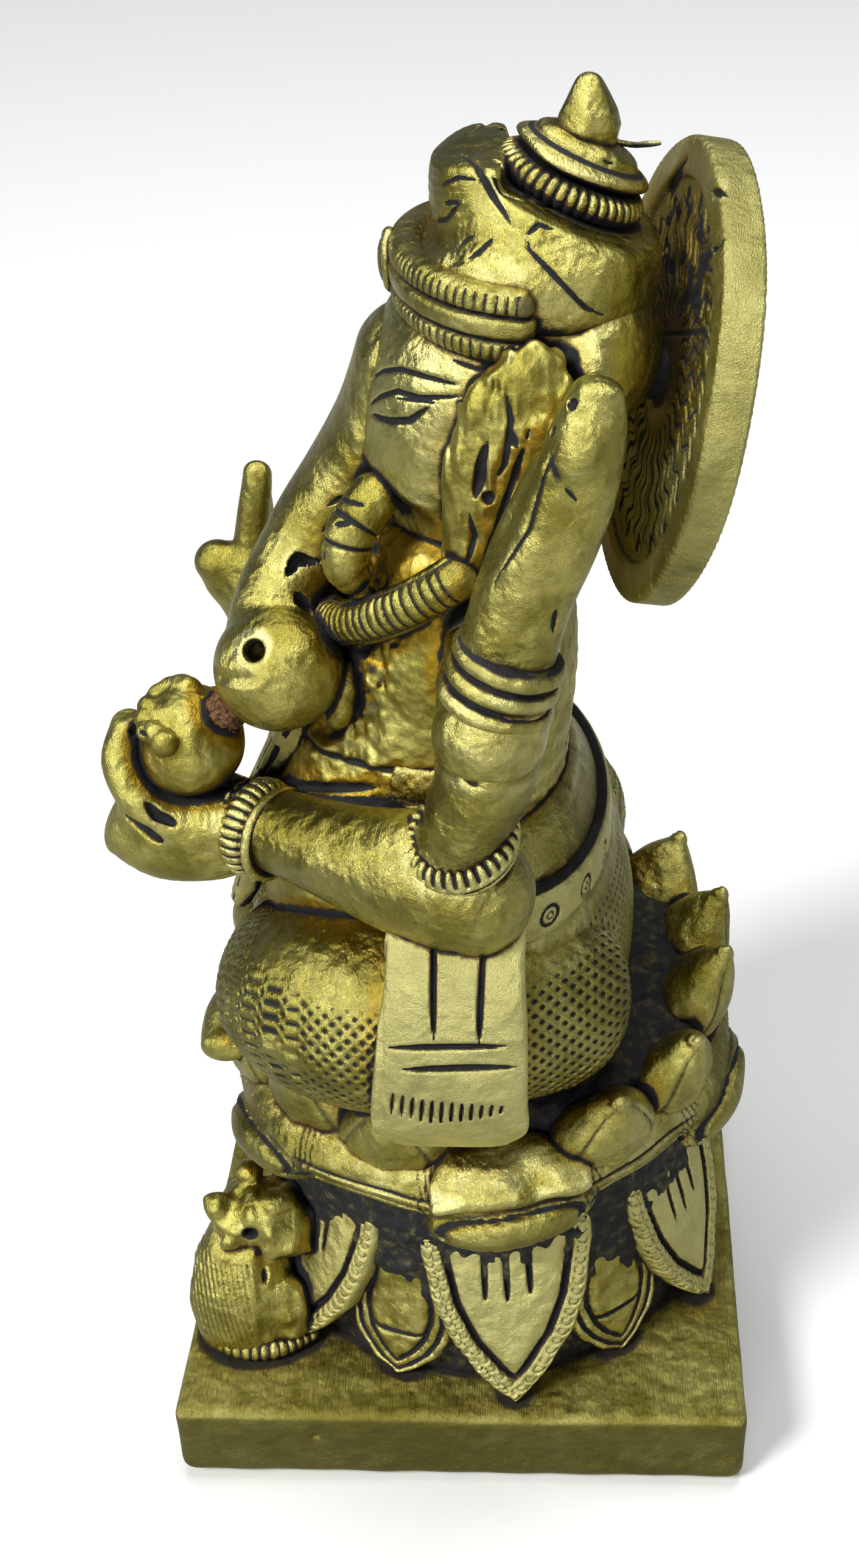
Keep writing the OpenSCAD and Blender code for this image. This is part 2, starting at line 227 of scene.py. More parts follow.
class Sweep:
    """An oval-section run through stations [x, y, z, half width, half depth]."""

    def __init__(self, stations, side=(1, 0, 0), fine=5, power=2.0, ends=(1.0, 1.0)):
        rows = smooth_rows(stations, fine)
        self.c = rows[:, :3]
        self.ab = rows[:, 3:5]
        self.power, self.ends = power, ends
        way = np.gradient(self.c, axis=0)
        self.t = way / np.linalg.norm(way, axis=1)[:, None]
        side = np.array(side, float)
        u = side[None] - self.t * (self.t @ side)[:, None]
        self.u = u / np.linalg.norm(u, axis=1)[:, None]
        self.v = np.cross(self.t, self.u)
        step = np.linalg.norm(np.diff(self.c, axis=0), axis=1)
        self.s = np.concatenate([[0], np.cumsum(step)])

    def local(self, p):
        """Along, across, deep and overshoot past an end, with the half width and depth there."""
        n = p.shape[1]
        best = np.full(n, FAR, np.float32)
        where = np.zeros(n, np.float32)
        for i in range(len(self.c) - 1):
            a, way = self.c[i], self.c[i + 1] - self.c[i]
            rel = p - col(a)
            t = clamp01((way.astype(np.float32) @ rel) / float(way @ way))
            gap = ((rel - col(way) * t) ** 2).sum(0)
            near = gap < best
            best = np.where(near, gap, best)
            where = np.where(near, i + t, where)
        i = np.minimum(where.astype(int), len(self.c) - 2)
        f = (where - i).astype(np.float32)

        def mix(table):
            table = table.astype(np.float32)
            return (table[i].T * (1 - f) + table[i + 1].T * f)

        rel = p - mix(self.c)
        u = (rel * mix(self.u)).sum(0)
        v = (rel * mix(self.v)).sum(0)
        w = (rel * mix(self.t)).sum(0)
        ab = mix(self.ab)
        s = np.interp(where, np.arange(len(self.s)), self.s).astype(np.float32)
        over = np.where(where <= 1e-4, np.minimum(w, 0), np.where(
            where >= len(self.c) - 1 - 1e-4, np.maximum(w, 0), 0))
        end = np.where(where < (len(self.c) - 1) / 2, self.ends[0], self.ends[1])
        return s, u, v, over, ab[0], ab[1], end

    def chart(self, p):
        """Distance to the surface, then the place along, across and deep."""
        local = self.local(p)
        return (self.gap(p, local), *local[:3])

    def gap(self, p, local=None):
        s, u, v, w, a, b, end = local or self.local(p)
        n = self.power
        ku, kv = np.abs(u) / a + 1e-5, np.abs(v) / b + 1e-5
        cs = (ku ** n + kv ** n) ** (1 / n)
        c = np.minimum(a, b) * end
        kw = w / c
        k = np.sqrt(cs * cs + kw * kw)
        gu = (cs / k) * cs ** (1 - n) * ku ** (n - 1) / a
        gv = (cs / k) * cs ** (1 - n) * kv ** (n - 1) / b
        gw = kw / k / c
        slope = np.sqrt(gu * gu + gv * gv + gw * gw)
        return np.maximum((k - 1) / np.maximum(slope, 1e-3), -np.minimum(a, b))


# ---- From a shape to a mesh ----
# A shape takes points and gives its distance and its dark-groove mask. It is sampled in blocks of points,
# and only the blocks near its surface are sampled finely.

BLOCK = 8
BLOCK_HALF_DIAGONAL = 0.87
STRETCH = 1.45
SLACK = 0.6


def grid_points(low, blocks, step):
    i = np.arange(BLOCK) * step
    x, y, z = np.meshgrid(i, i, i, indexing="ij")
    inner = np.stack([x.ravel(), y.ravel(), z.ravel()])
    start = np.array(low)[:, None] + blocks.T * BLOCK * step
    return (start[:, :, None] + inner[:, None, :]).reshape(3, -1).astype(np.float32)


def in_chunks(shape, p, size=400000):
    parts = [shape(p[:, i:i + size]) for i in range(0, p.shape[1], size)]
    return np.concatenate([q[0] for q in parts]), np.concatenate([q[1] for q in parts])


def polygonise(shape, low, high, step):
    low = np.array(low, float) - 3 * step
    count = np.ceil((np.array(high) + 3 * step - low) / (step * BLOCK)).astype(int)
    i, j, k = np.meshgrid(*[np.arange(c) for c in count], indexing="ij")
    blocks = np.stack([i.ravel(), j.ravel(), k.ravel()], 1)
    middle = (low[:, None] + (blocks.T + 0.5) * BLOCK * step).astype(np.float32)
    rough = in_chunks(shape, middle)[0]
    reach = BLOCK * step * BLOCK_HALF_DIAGONAL * STRETCH + SLACK
    band = 3 * step
    values = np.where(rough < 0, -band, band).astype(np.float32)
    whole = np.repeat(values[:, None], BLOCK ** 3, 1)
    near = np.abs(rough) < reach
    fine = in_chunks(shape, grid_points(low, blocks[near], step))[0]
    whole[near] = np.clip(fine, -band, band).reshape(-1, BLOCK ** 3)
    dense = whole.reshape(*count, BLOCK, BLOCK, BLOCK).transpose(0, 3, 1, 4, 2, 5)
    dense = np.ascontiguousarray(dense.reshape(count * BLOCK))
    volume = openvdb.FloatGrid(band)
    volume.copyFromArray(dense, ijk=(0, 0, 0))
    points, triangles, quads = volume.convertToPolygons(0.0, 0.0)
    return points * step + low, triangles, quads


def largest_only(points, quads, keep_over):
    """Drops stray crumbs: connected bits with fewer points than keep_over."""
    link = np.arange(len(points))
    edges = np.concatenate([quads[:, [0, 1]], quads[:, [1, 2]], quads[:, [2, 3]], quads[:, [3, 0]]])
    while True:
        low = np.minimum(link[edges[:, 0]], link[edges[:, 1]])
        new = link.copy()
        np.minimum.at(new, edges[:, 0], low)
        np.minimum.at(new, edges[:, 1], low)
        new = new[new]
        if (new == link).all():
            break
        link = new
    size = np.bincount(link, minlength=len(points))
    good = size[link] >= keep_over
    number = np.cumsum(good) - 1
    return points[good], number[quads[good[quads].all(1)]]


# Where the shapes below were laid out: each node's centre, in millimetres. A right-hand piece that isn't
# listed mirrors its left one.
DESIGN = {
    "back_wrap": (0, 3.66, 64.34), "braze_spot": (9.8, -16.24, 71.46), "crown": (0, 6.4, 106.56),
    "crown_bead_ring": (0, 9.6, 107.2), "crown_collar": (0, 10.37, 108.87), "finial": (0, 10.91, 111.9),
    "front_left_arm": (16.77, -3.79, 69.49), "front_left_armlet": (21.51, 3.2, 67.2),
    "front_left_bangles": (11.15, -15.56, 63.2), "front_left_hand": (10.03, -20.97, 61.83),
    "front_right_hand": (-11.93, -18.79, 72), "front_sash": (3.35, -13.95, 60.86),
    "halo_disc": (-0.22, 16.82, 93.34), "halo_pin": (0.13, 14.62, 93.75), "head": (0, 5.01, 93.55),
    "headband": (0, 3.62, 101.47), "headband_gem": (0, -3.55, 101.9), "hips": (0, 5.41, 49.46),
    "left_ear": (12.25, 6.48, 90.79), "left_foot": (6.45, -19.27, 38.81),
    "left_leg": (12.51, -2.72, 46.55), "left_sash": (21.97, 1.4, 50.53),
    "left_tusk": (8.69, -5.41, 85.04), "lotus_core": (0, 1.5, 22.75), "lower_petals": (0, 1.5, 17.79),
    "middle_petals": (0, 1.5, 30.46), "mouse_body": (16.15, -19.21, 15.5),
    "mouse_head": (13.6, -16.85, 23.1), "mouse_tail": (20.09, -18.6, 9.5),
    "necklace": (0, -3.84, 79.93), "pendant": (8.4, -7.32, 71.91), "plinth": (0, 0, 4.25),
    "rear_left_arm": (16.48, 4.7, 77.76), "rear_left_bangles": (19, 5.4, 81.7),
    "rear_left_hand": (18.8, 8.52, 92.56), "secondary_petals": (0, 1.5, 12.96),
    "sweets_bowl": (9.6, -20.2, 68.6), "torso": (0, -3.3, 62.35), "trunk": (5.74, -10.36, 83.55),
    "upper_petals": (-0.02, 1.39, 38.42), "waist_belt": (0, 7.63, 57.85),
}


def design_centre(node):
    """The centre the node's shape was drawn round."""
    if node in DESIGN:
        return np.array(DESIGN[node])
    return np.array(DESIGN[node.replace("right", "left")]) * (-1, 1, 1)


# ---- Base: slab, lotus and mouse ----

LOTUS_Y = 1.5
PETAL_TURN = 8.4
SLAB_HALF = 25
SLAB_TOP = 8.46
ACROSS = np.array([[1], [1], [0.3]], np.float32)
PITS = [((25, -12.6, 5.9), 0.42), ((12, 23.5, 8.6), 0.3), ((7.5, 24, 8.6), 0.22), ((-18, 20, 8.6), 0.3)]


def slab(p):
    x, y, z = p
    side = smax(np.abs(x) - SLAB_HALF, np.abs(y) - SLAB_HALF, 1.2)
    d = smax(side, z - SLAB_TOP + 0.09 * waves(p * ACROSS, 7, 3), 0.9)
    d = smax(d, -z, 2.2) + 0.04 * waves(p, 3, 5)
    for centre, size in PITS:
        d = smax(d, -ellipsoid(p, centre, (size, size, size * 0.8)), 0.2)
    return d, no_mask(p)


DRUM_Z = [8.5, 10, 14, 20.5, 26.5, 30.5, 33.5, 37]
DRUM_RADIUS = [18.4, 17, 16.4, 16, 16.6, 18.8, 19.4, 18]


def drum(p):
    """The lotus's waisted core with the seat on top, rough and dark all over."""
    x, y, z = p
    r = np.hypot(x, y - LOTUS_Y)
    rough = 0.7 * (grain(p, 1.5, 11) - 0.5) + 0.45 * (grain(p, 0.7, 12) - 0.5)
    waist = smax(r - np.interp(z, DRUM_Z, DRUM_RADIUS).astype(np.float32), z - 36.2, 1.5)
    seat = smax(r - 20.0, z - 40.4 + 0.25 * (r - 14), 1.0)
    d = smin(waist, seat, 1.0) + rough
    return smax(d, 8.2 - z, 0.2), clamp01(0.46 + 0.2 * grain(p, 0.6, 13))


def leaf(q, tip_r, tip_z, high, wide, lean, thick):
    """A pointed leaf standing on its tip: distance, inset from its edge, and distance along it."""
    r, s, z = q
    t = (z - tip_z) / high
    half = wide * np.interp(t, [-0.1, 0, 0.06, 0.18, 0.35, 0.55, 0.8, 1.0, 1.2],
                            [0, 0.03, 0.2, 0.48, 0.76, 0.94, 1.03, 1.02, 0.95]).astype(np.float32)
    slope = np.interp(t, [0, 0.2, 0.5, 0.8, 1], [0.72, 0.8, 0.93, 1, 1]).astype(np.float32)
    inset = (half - np.abs(s)) * slope
    face = tip_r - lean * (z - tip_z) - 0.35 * (s / wide) ** 2
    gap = np.abs((r - face) / math.hypot(1, lean) + thick * 0.5) - thick * 0.5
    return gap, inset


def crescents(inset, along, at, pitch, size):
    """Punched half rings down a border strip."""
    cell = (along / pitch) % 1.0
    ring = np.abs(np.hypot(inset - at, (cell - 0.45) * pitch) - size)
    return clamp01(1 - ring / 0.16) * (cell < 0.72)


def lower_petal(q):
    r, s, z = q
    gap, inset = leaf(q, 23.5, 8.7, 18.4, 7.1, 0.27, 2.2)
    border = np.sqrt(np.maximum(1 - ((inset - 0.85) / 0.95) ** 2, 0))
    field = ramp(1.9, 3.2, inset)
    d = smax(gap - 0.3 * border - 0.28 * field, -inset, 0.7)
    along = z * 1.15 + np.abs(s) * 0.3
    two_rows = most(crescents(inset, along, 0.5, 1.15, 0.36), crescents(inset, along + 0.55, 1.3, 1.15, 0.36))
    punch = np.where(s < 0, two_rows, crescents(inset, along, 0.9, 1.15, 0.42))
    punch = punch * (inset > 0.1) * (inset < 1.65)
    outline = mark(inset, 1.98, 0.36) * ramp(-0.2, 0.5, z - 9.4)
    cut = 0
    for at, low, high in ((-2.15, 19.2, 24.6), (-0.25, 18.9, 24.8), (1.75, 19.4, 24.4)):
        gash, run = flat_gap(s, z, (at, low), (at * 0.95, high))
        cut = most(cut, stroke(gash, run, 0.36, 0.55))
    outer = r > 23.5 - 0.27 * (z - 8.9) - 1.2
    d = d + outer * (0.62 * outline + 0.6 * cut + 0.24 * punch)
    mask = outer * most(outline, cut * 1.2, 0.5 * punch)
    return d + 0.05 * waves(q, 2.2, 21), clamp01(mask * 1.15)


def secondary_petal(q):
    r, s, z = q
    gap, inset = leaf(q, 21.8, 8.6, 8.2, 4.9, 0.2, 2.0)
    d = smax(gap - 0.25 * ramp(2.2, 3, inset), -inset, 0.6)
    bar = stroke(*flat_gap(s, z, (-2.6, 13.6), (2.6, 13.6)), 0.3, 0.4)
    cut = most(mark(inset, 0.95, 0.3), mark(inset, 2.05, 0.3), bar)
    return d + 0.5 * cut + 0.07 * waves(q, 1.6, 22), clamp01(cut * 1.2 + 0.15)


FLANGE_SQUASH = 1.08
FLANGE_REACH = 24.3


def flange_rim(near, angle, r, z):
    """The rolled rim, with two lines along it and hatching beside each lobe."""
    dip = np.cos(np.radians(near * 6)) * 0.5 + 0.5
    rise = 34.0 - 0.6 * dip
    reach = FLANGE_REACH - 0.4 * (1 - dip) + 0.25 * np.sin(np.radians(angle * 7))
    u, v = r - (reach - 3.6), z - rise - 0.12 * (reach - r)
    d = (np.hypot(u / 3.8, (v + 0.4) / 3.0) - 1) * 3.0 * np.where(np.abs(u) > 1.2, 1, 0.9)
    away = np.abs(near)
    lines = most(mark(v, -0.1, 0.27), mark(v, -1.15, 0.24)) * ramp(13, 16, away) * (u > 0)
    ends = ramp(12, 14, away) * (1 - ramp(18, 20, away)) * (reach - r < 2.2)
    hatch = ribs(near * 0.42 + 0.35 * (z - rise), 0.62, 0.2) * ends
    return d + 0.42 * lines + 0.22 * hatch, most(lines, hatch * 0.6)


def flange_lens(near, r, z):
    """The swelling in the middle of each lobe, with an outline and three notches."""
    s = near * math.pi / 180 * r
    z = z - 0.12 * s
    d = ellipsoid(np.stack([r, s, z]), (23.6, 0.3, 31.6), (2.6, 7.2, 2.2))
    rim = mark(np.abs(s / 6.6) ** 2 + ((z - 31.8) / 1.7) ** 2, 0.78, 0.17) * (z > 31.3) * (r > 23)
    notch = 0
    for at in (-1.9, 0.1, 1.9):
        gap, run = flat_gap(s, z, (at, 29.0), (at, 30.6))
        notch = most(notch, clamp01(1 - gap / (0.42 * (1.15 - run))))
    notch = notch * (r > 22.6)
    return d + 0.4 * rim + 0.4 * notch, most(rim, notch)


def flange(p):
    x, y, z = p
    r = np.hypot(x, FLANGE_SQUASH * (y - LOTUS_Y))
    angle = np.degrees(np.arctan2(y - LOTUS_Y, x))
    near = (angle - PETAL_TURN + 30) % 60 - 30
    d, mask = flange_rim(near, angle, r, z)
    lens, lens_mask = flange_lens(near, r, z)
    join = smin(d, lens, 0.35)
    seam = mark(d, lens, 0.5) * mark(join, 0, 0.6)
    mask = most(mask, lens_mask * (lens < d + 0.3), 0.55 * seam)
    return join + 0.1 * waves(p, 2.4, 23), clamp01(mask)


UPPER = Sweep([(16.8, 0, 34.6, 3.6, 2.2), (19.4, 0, 36.4, 4.8, 3.1), (21.1, 0, 38.8, 4.6, 2.9),
               (22.3, 0, 41.2, 2.9, 1.9), (23.1, 0, 43.0, 0.8, 0.7)], side=(0, 1, 0), power=2.2)


def upper_petal(q):
    local = UPPER.local(q)
    u, v, a = local[1], local[2], local[4]
    d = UPPER.gap(q, local)
    out = v * np.sign(UPPER.v[3][0])
    ridge = mark(u, 0, 1.5) * (out > 0)
    rim = mark(np.abs(u) / a, 0.78, 0.1) * (out > -0.3)
    d = d - 0.35 * ridge + 0.22 * rim
    return d + 0.1 * waves(q, 2.6, 31), clamp01(rim * 0.55)


DROOP = Sweep([(17.4, 0, 34.8, 3.0, 1.2), (20.0, 0.2, 35.9, 5.4, 1.4), (22.4, 0.6, 35.7, 6.6, 1.3),
               (24.2, 0.8, 34.7, 6.4, 0.9)], side=(0, 1, 0))


def droop_petal(q):
    d = DROOP.gap(q)
    knob = ellipsoid(q, (20.6, 1.6, 36.4), (1.6, 2.0, 0.9))
    return smin(d, knob, 1.2) + 0.14 * waves(q, 1.8, 32), no_mask(q)


# The photo's mouse sits further back than its CAD solid.
MOUSE_BACK = col((2.3, -0.4, 0))
MOUSE_HEAD_BACK = col((1.2, -0.8, 0))
MOUSE_HUMP = Sweep([(16.8, -19.8, 9.6, 4.6, 5.0), (17.0, -19.9, 12.6, 4.8, 5.2),
                    (16.4, -19.8, 16.2, 4.2, 4.6), (15.4, -19.2, 19.4, 3.0, 3.6)])
MOUSE_TAIL = Sweep([(16.6, -23.8, 9.6, 1.0, 1.1), (18.9, -23.0, 9.7, 1.2, 1.2), (20.6, -20.4, 9.7, 1.2, 1.2),
                    (20.6, -17.2, 9.6, 1.1, 1.1), (18.8, -14.4, 9.4, 0.9, 0.9)], side=(0, 0, 1))
MOUSE_LUMPS = [((15.4, -21.6, 23.2), 1.5), ((15.6, -16.8, 24.0), 1.5), ((13.0, -19.4, 24.8), 1.2),
               ((17.6, -17.4, 20.6), 1.0), ((17.6, -20.6, 20.8), 1.0)]


def mouse_body(p):
    p = p + MOUSE_BACK
    y, z = p[1:]
    haunch = ellipsoid(p, (18.4, -16.2, 12.4), (2.6, 2.6, 4.2))
    d = smin(MOUSE_HUMP.gap(p), haunch, 0.7) + 0.5 * grain(p, 1.1, 43) * ramp(-18.6, -17.8, y)
    crease = stroke(*line_gap(p, [(20.2, -18.0, 12.5), (19.9, -17.9, 15), (18.9, -17.6, 18.2)]), 0.55, 0.6)
    hair = ribs(y + 0.18 * (z - 12), 0.5, 0.19)
    hair = hair * (1 - ramp(-18.9, -18.2, y)) * ramp(8.8, 10.5, z) * (1 - ramp(18.5, 19.6, z))
    d = d + 0.5 * crease + 0.16 * hair + 0.08 * waves(p, 2, 41)
    return smax(d, 8.2 - z, 0.3), clamp01(crease + 0.5 * hair)


def mouse_head(p):
    p = p + MOUSE_HEAD_BACK
    skull = ellipsoid(p, (14.6, -18.6, 21.8), (3.6, 4.2, 2.9))
    snout = ellipsoid(p, (15.6, -15.6, 20.6), (2.6, 2.2, 2.4))
    d = smin(skull, snout, 1.0)
    for centre, size in MOUSE_LUMPS:
        d = smin(d, ellipsoid(p, centre, (size, size, size * 0.75)), 0.5)
    eye = ellipsoid(p, (17.9, -18.9, 22.3), (0.7, 0.34, 0.24))
    d = smax(d, -eye, 0.3) + 0.9 * (grain(p, 1.7, 42) - 0.5) + 0.3 * (grain(p, 0.9, 44) - 0.5)
    return d, clamp01(clamp01(1 - eye / 0.5) + 0.25)


def mouse_tail(p):
    d, s, u, v = MOUSE_TAIL.chart(p + MOUSE_BACK)
    rings = ribs(s, 0.72, 0.2)
    return d + 0.22 * rings, clamp01(rings * 0.8)


# ---- Lower body ----

def dimples(u, v, pitch, size):
    """Punch marks in a square lattice."""
    a, b = (u / pitch) % 1 - 0.5, (v / pitch) % 1 - 0.5
    return clamp01(1 - np.maximum(np.abs(a), np.abs(b)) * pitch / size)


HIPS = Sweep([(0, 4, 38.5, 15.6, 9.8), (0, 4, 42, 17.6, 10.7), (0, 4, 46, 18.6, 10.9),
              (0, 3.7, 50, 18.4, 10.5), (0, 3.2, 54, 17.6, 9.6), (0, 2.8, 57, 16, 8.8),
              (0, 2.4, 59.2, 13.8, 8)], power=2.2, ends=(0.3, 0.3))
HIPS_HALF_WIDE_SQUARED = 324
HIPS_HALF_DEEP_SQUARED = 117


def hips(p):
    x, y, z = p
    fade = ramp(40, 43, z) * (1 - ramp(52.5, 55, z))
    flank = np.abs(x) / HIPS_HALF_WIDE_SQUARED > np.abs(y - 4) / HIPS_HALF_DEEP_SQUARED
    holes = dimples(np.where(flank, y, x) + 0.2 * z, z, 0.86, 0.33) * fade
    uneven = 0.5 + 0.5 * waves(p, 7, 51)
    d = HIPS.gap(p) + 0.24 * holes * (0.5 + 0.5 * uneven)
    return smax(d, 36.5 - z, 0.5) + 0.06 * waves(p, 4, 52), clamp01(holes * 0.8)


LEG = Sweep([(12.4, 6.5, 46.2, 8.0, 8.6), (15.2, 0.5, 47.2, 8.2, 9.0), (15.2, -6, 47.4, 8.2, 9.2),
             (12.9, -10.9, 46.6, 7.4, 8.0), (7.4, -13.4, 44.6, 6.0, 6.2), (1.2, -14.4, 42.8, 4.4, 4.2)],
            side=(0, 0, 1))


def leg(p):
    x, y, z = p
    d, s, u, v = LEG.chart(p)
    a, b = np.where(y > -11, -y, s * 0.94), np.arctan2(v, u) * 9.0
    holes = dimples((a + b) * 0.707, (a - b) * 0.707, 0.82, 0.33)
    fold, _ = line_gap(p, [(21.4, -13.2, 48.2), (22.6, -9.4, 47.6), (23.6, -5, 45.6)])
    holes = holes * (ramp(0.7, 1.3, fold) * ramp(38, 40, z) * (1 - ramp(51.5, 53.5, z)))
    d = d + 0.34 * holes - 0.35 * clamp01(1 - fold / 1.4)
    return smax(d, 36.6 - z, 0.4) + 0.07 * waves(p, 4, 53), clamp01(holes * 0.95)


def foot(p):
    sole = Sweep([(1.6, -17.6, 38.8, 1.7, 2.0), (6.4, -19.4, 39, 2.2, 2.0), (10.6, -19.3, 38.7, 2.3, 1.5)],
                 side=(0, 1, 0))
    d = sole.gap(p)
    for k in range(4):
        toe = ellipsoid(p, (2.0 + 0.2 * k, -19.2 + 0.25 * k, 37.9 + 0.9 * k), (1.6, 0.8, 0.5))
        d = smin(d, toe, 0.25)
    return d + 0.05 * waves(p, 1.5, 54), no_mask(p)


SASH = Sweep([(18.4, 1.4, 60.4, 4.9, 1.3), (21.6, 1.4, 59.4, 5.1, 1.2), (24.1, 1.2, 55.6, 5.3, 1.1),
              (25.2, 1.0, 51, 5.6, 1.0), (25.4, 0.7, 46.6, 5.9, 1.0), (25.0, 0.6, 43.4, 5.9, 0.9),
              (24.5, 0.6, 41.8, 4.6, 0.8)], side=(0, 1, 0), power=4.0, ends=(1, 1))
SASH_CUTS = [((3.6, -1.5), (11.2, -1.3), 0.34), ((3.7, 2.1), (11.4, 2.0), 0.34),
             ((12.1, -4.9), (11.4, 4.2), 0.36), ((13.9, -3.8), (13.1, 4.9), 0.4)]


def sash(p):
    d, s, u, v = SASH.chart(p)
    out = p[0] > 22.5
    cut = 0
    for a, b, wide in SASH_CUTS:
        gap, run = flat_gap(s, u, a, b)
        cut = most(cut, stroke(gap, run, wide))
    for k in range(12):
        at = -4.2 + 0.74 * k
        gap, run = flat_gap(s, u, (16.2 + 0.05 * k, at), (18.9 - 0.03 * (k - 5) ** 2, at - 0.15))
        cut = most(cut, stroke(gap, run, 0.2) * 0.8)
    edge = mark(u, -5.1, 0.35)
    d = d + (0.55 * cut + 0.2 * edge) * out
    return d + 0.05 * waves(p, 3, 55), clamp01(cut * 1.3) * out


FRONT_SASH = Sweep([(4.6, -8.8, 73.4, 1.9, 1.3), (5.0, -11, 68.5, 2.2, 1.5), (4.8, -13.8, 63, 2.3, 1.5),
                    (4.0, -16.2, 57.5, 2.5, 1.4), (3.2, -16.8, 52.5, 2.6, 1.2),
                    (2.4, -18, 49.4, 2.4, 1.0)], power=3)


def front_sash(p):
    d, s, u, v = FRONT_SASH.chart(p)
    cut = ribs(u, 0.8, 0.2) * (((s / 4.2) % 1) < 0.78)
    return d + 0.25 * cut, clamp01(cut)


def arc(centre, wide, deep, start, stop, lift, half_w, half_d, count=14):
    """Stations round an ellipse, from one angle to another."""
    rows = []
    for a in np.radians(np.linspace(start, stop, count)):
        rows.append((centre[0] + wide * math.cos(a), centre[1] + deep * math.sin(a),
                     centre[2] + lift * math.sin(a), half_w, half_d))
    return rows


BELT = Sweep(arc((0, 3.0, 57.2), 17.3, 9.0, -14, 194, -1.7, 2.5, 1.0), side=(0, 0, 1), fine=3, power=3)


def belt(p):
    d, s, u, v = BELT.chart(p)
    pitch = 5.0
    ring = np.hypot(((s / pitch) % 1 - 0.5) * pitch, u)
    motif = most(mark(ring, 0.85, 0.28), 0.7 * mark(ring, 0.3, 0.2))
    edges = mark(np.abs(u), 2.25, 0.25)
    return d + 0.3 * motif + 0.3 * edges, clamp01(motif + edges)


# ---- Upper body ----

TORSO = Sweep([(0, -3, 42, 11.2, 9.8), (0, -3.6, 47, 13.6, 12), (0, -3.6, 52, 14.8, 12.8),
               (0, -3.2, 58, 15, 13), (0, -1.8, 64, 12.8, 11.4), (0, 0, 70, 12.4, 10.2),
               (0, 1, 75, 12.6, 9.2), (0, 1.8, 80, 11.6, 7.8)], power=2.2, ends=(0.5, 0.8))


def torso(p):
    x, y, z = p
    chest = ramp(64, 70, z) * ramp(-1, -5, y)
    rough = 0.5 * (grain(p, 1.3, 61) - 0.5) + 0.35 * (grain(p, 0.6, 62) - 0.5)
    crease = mark(z, 67.2, 0.4) * (y < 4)
    d = TORSO.gap(p) + rough * (0.3 + 1.6 * chest) + 0.3 * crease
    return smax(d, 36.6 - z, 0.5), clamp01(0.6 * chest * grain(p, 0.7, 63) + 0.8 * crease)


WRAP = Sweep(arc((0, -1.0, 65.0), 12.3, 9.7, -14, 194, -0.8, 2.6, 0.8), side=(0, 0, 1), fine=3, power=3)


def back_wrap(p):
    d, s, u, v = WRAP.chart(p)
    cross = most(ribs(s + u, 1.1, 0.16), ribs(s - u, 1.1, 0.16))
    groove = mark(u, -0.4, 0.3)
    return d + 0.14 * cross + 0.4 * groove, clamp01(0.4 * cross + groove)


NECKLACE = Sweep(arc((0, 1.4, 83.6), 13.2, 10.8, -182, 2, 7.6, 1.7, 1.7), side=(0, 0.3, 1), fine=3)


def necklace(p):
    d, s, u, v = NECKLACE.chart(p)
    edge = np.abs(u) / 1.7
    rib = ribs(s, 0.78, 0.2) * (edge < 0.82)
    line = mark(edge, 0.86, 0.1)
    return d + 0.26 * rib + 0.15 * line, clamp01(0.85 * rib + line * 0.6)


def pendant(p):
    d = ellipsoid(p, (8.6, -7.4, 71.8), (2.3, 1.5, 3.1), turn_x(-14))
    cut = mark(ellipsoid(p, (8.6, -8.6, 72.0), (1.6, 1.2, 2.2), turn_x(-14)), 0, 0.25)
    return d + 0.25 * cut, clamp01(cut)


FOREARM = Sweep([(11.4, -14.6, 61.7, 3.1, 3.1), (13.4, -11.4, 62.1, 3.3, 3.4), (16.4, -6.6, 62.4, 3.9, 3.9),
                 (18.8, -1.8, 62.5, 4.9, 4.5), (20.4, 1.8, 62.4, 5.0, 4.5), (20.8, 3.4, 61.8, 4.4, 4.2)],
                side=(0, 0, 1), ends=(1, 0.85))
UPPER_ARM = Sweep([(15.6, 4.2, 76.6, 4.0, 3.9), (18.9, 4.2, 74.8, 4.3, 3.9), (20.2, 3.7, 71.8, 4.1, 3.6),
                   (20.7, 2.5, 68.8, 3.4, 3.1), (20.7, 2.0, 65.6, 2.9, 2.8)], side=(1, 0, 0))


# Past this plane the front forearm ends and its hand begins.
WRIST_X, WRIST_Y = 0.53, 0.848


def front_arm(p):
    x, y, z = p
    d = smin(FOREARM.gap(p), UPPER_ARM.gap(p), 1.0)
    wrist = -(x - 11.6) * WRIST_X - (y + 14.4) * WRIST_Y
    d = smax(d, wrist - 1.5, 0.2)
    line = stroke(*line_gap(p, [(25.2, 0.6, 73.4), (24.4, 2.2, 72.2)]), 0.45)
    chips = stroke(*line_gap(p, [(23.4, -1.4, 72), (23.0, -1.7, 69.5), (22.6, -2, 68)]), 0.8, 0.4)
    nick = stroke(*line_gap(p, [(24.6, 5.9, 70.6), (24.2, 6.6, 68.8)]), 0.5)
    cut = most(line, chips * (grain(p, 0.7, 71) > 0.35), nick)
    return d + 0.35 * cut + 0.1 * waves(p, 5, 72), clamp01(cut * 1.2)


BANGLE_AT = (11.7, -14.3, 61.7)
BANGLE_TURN = -32.0


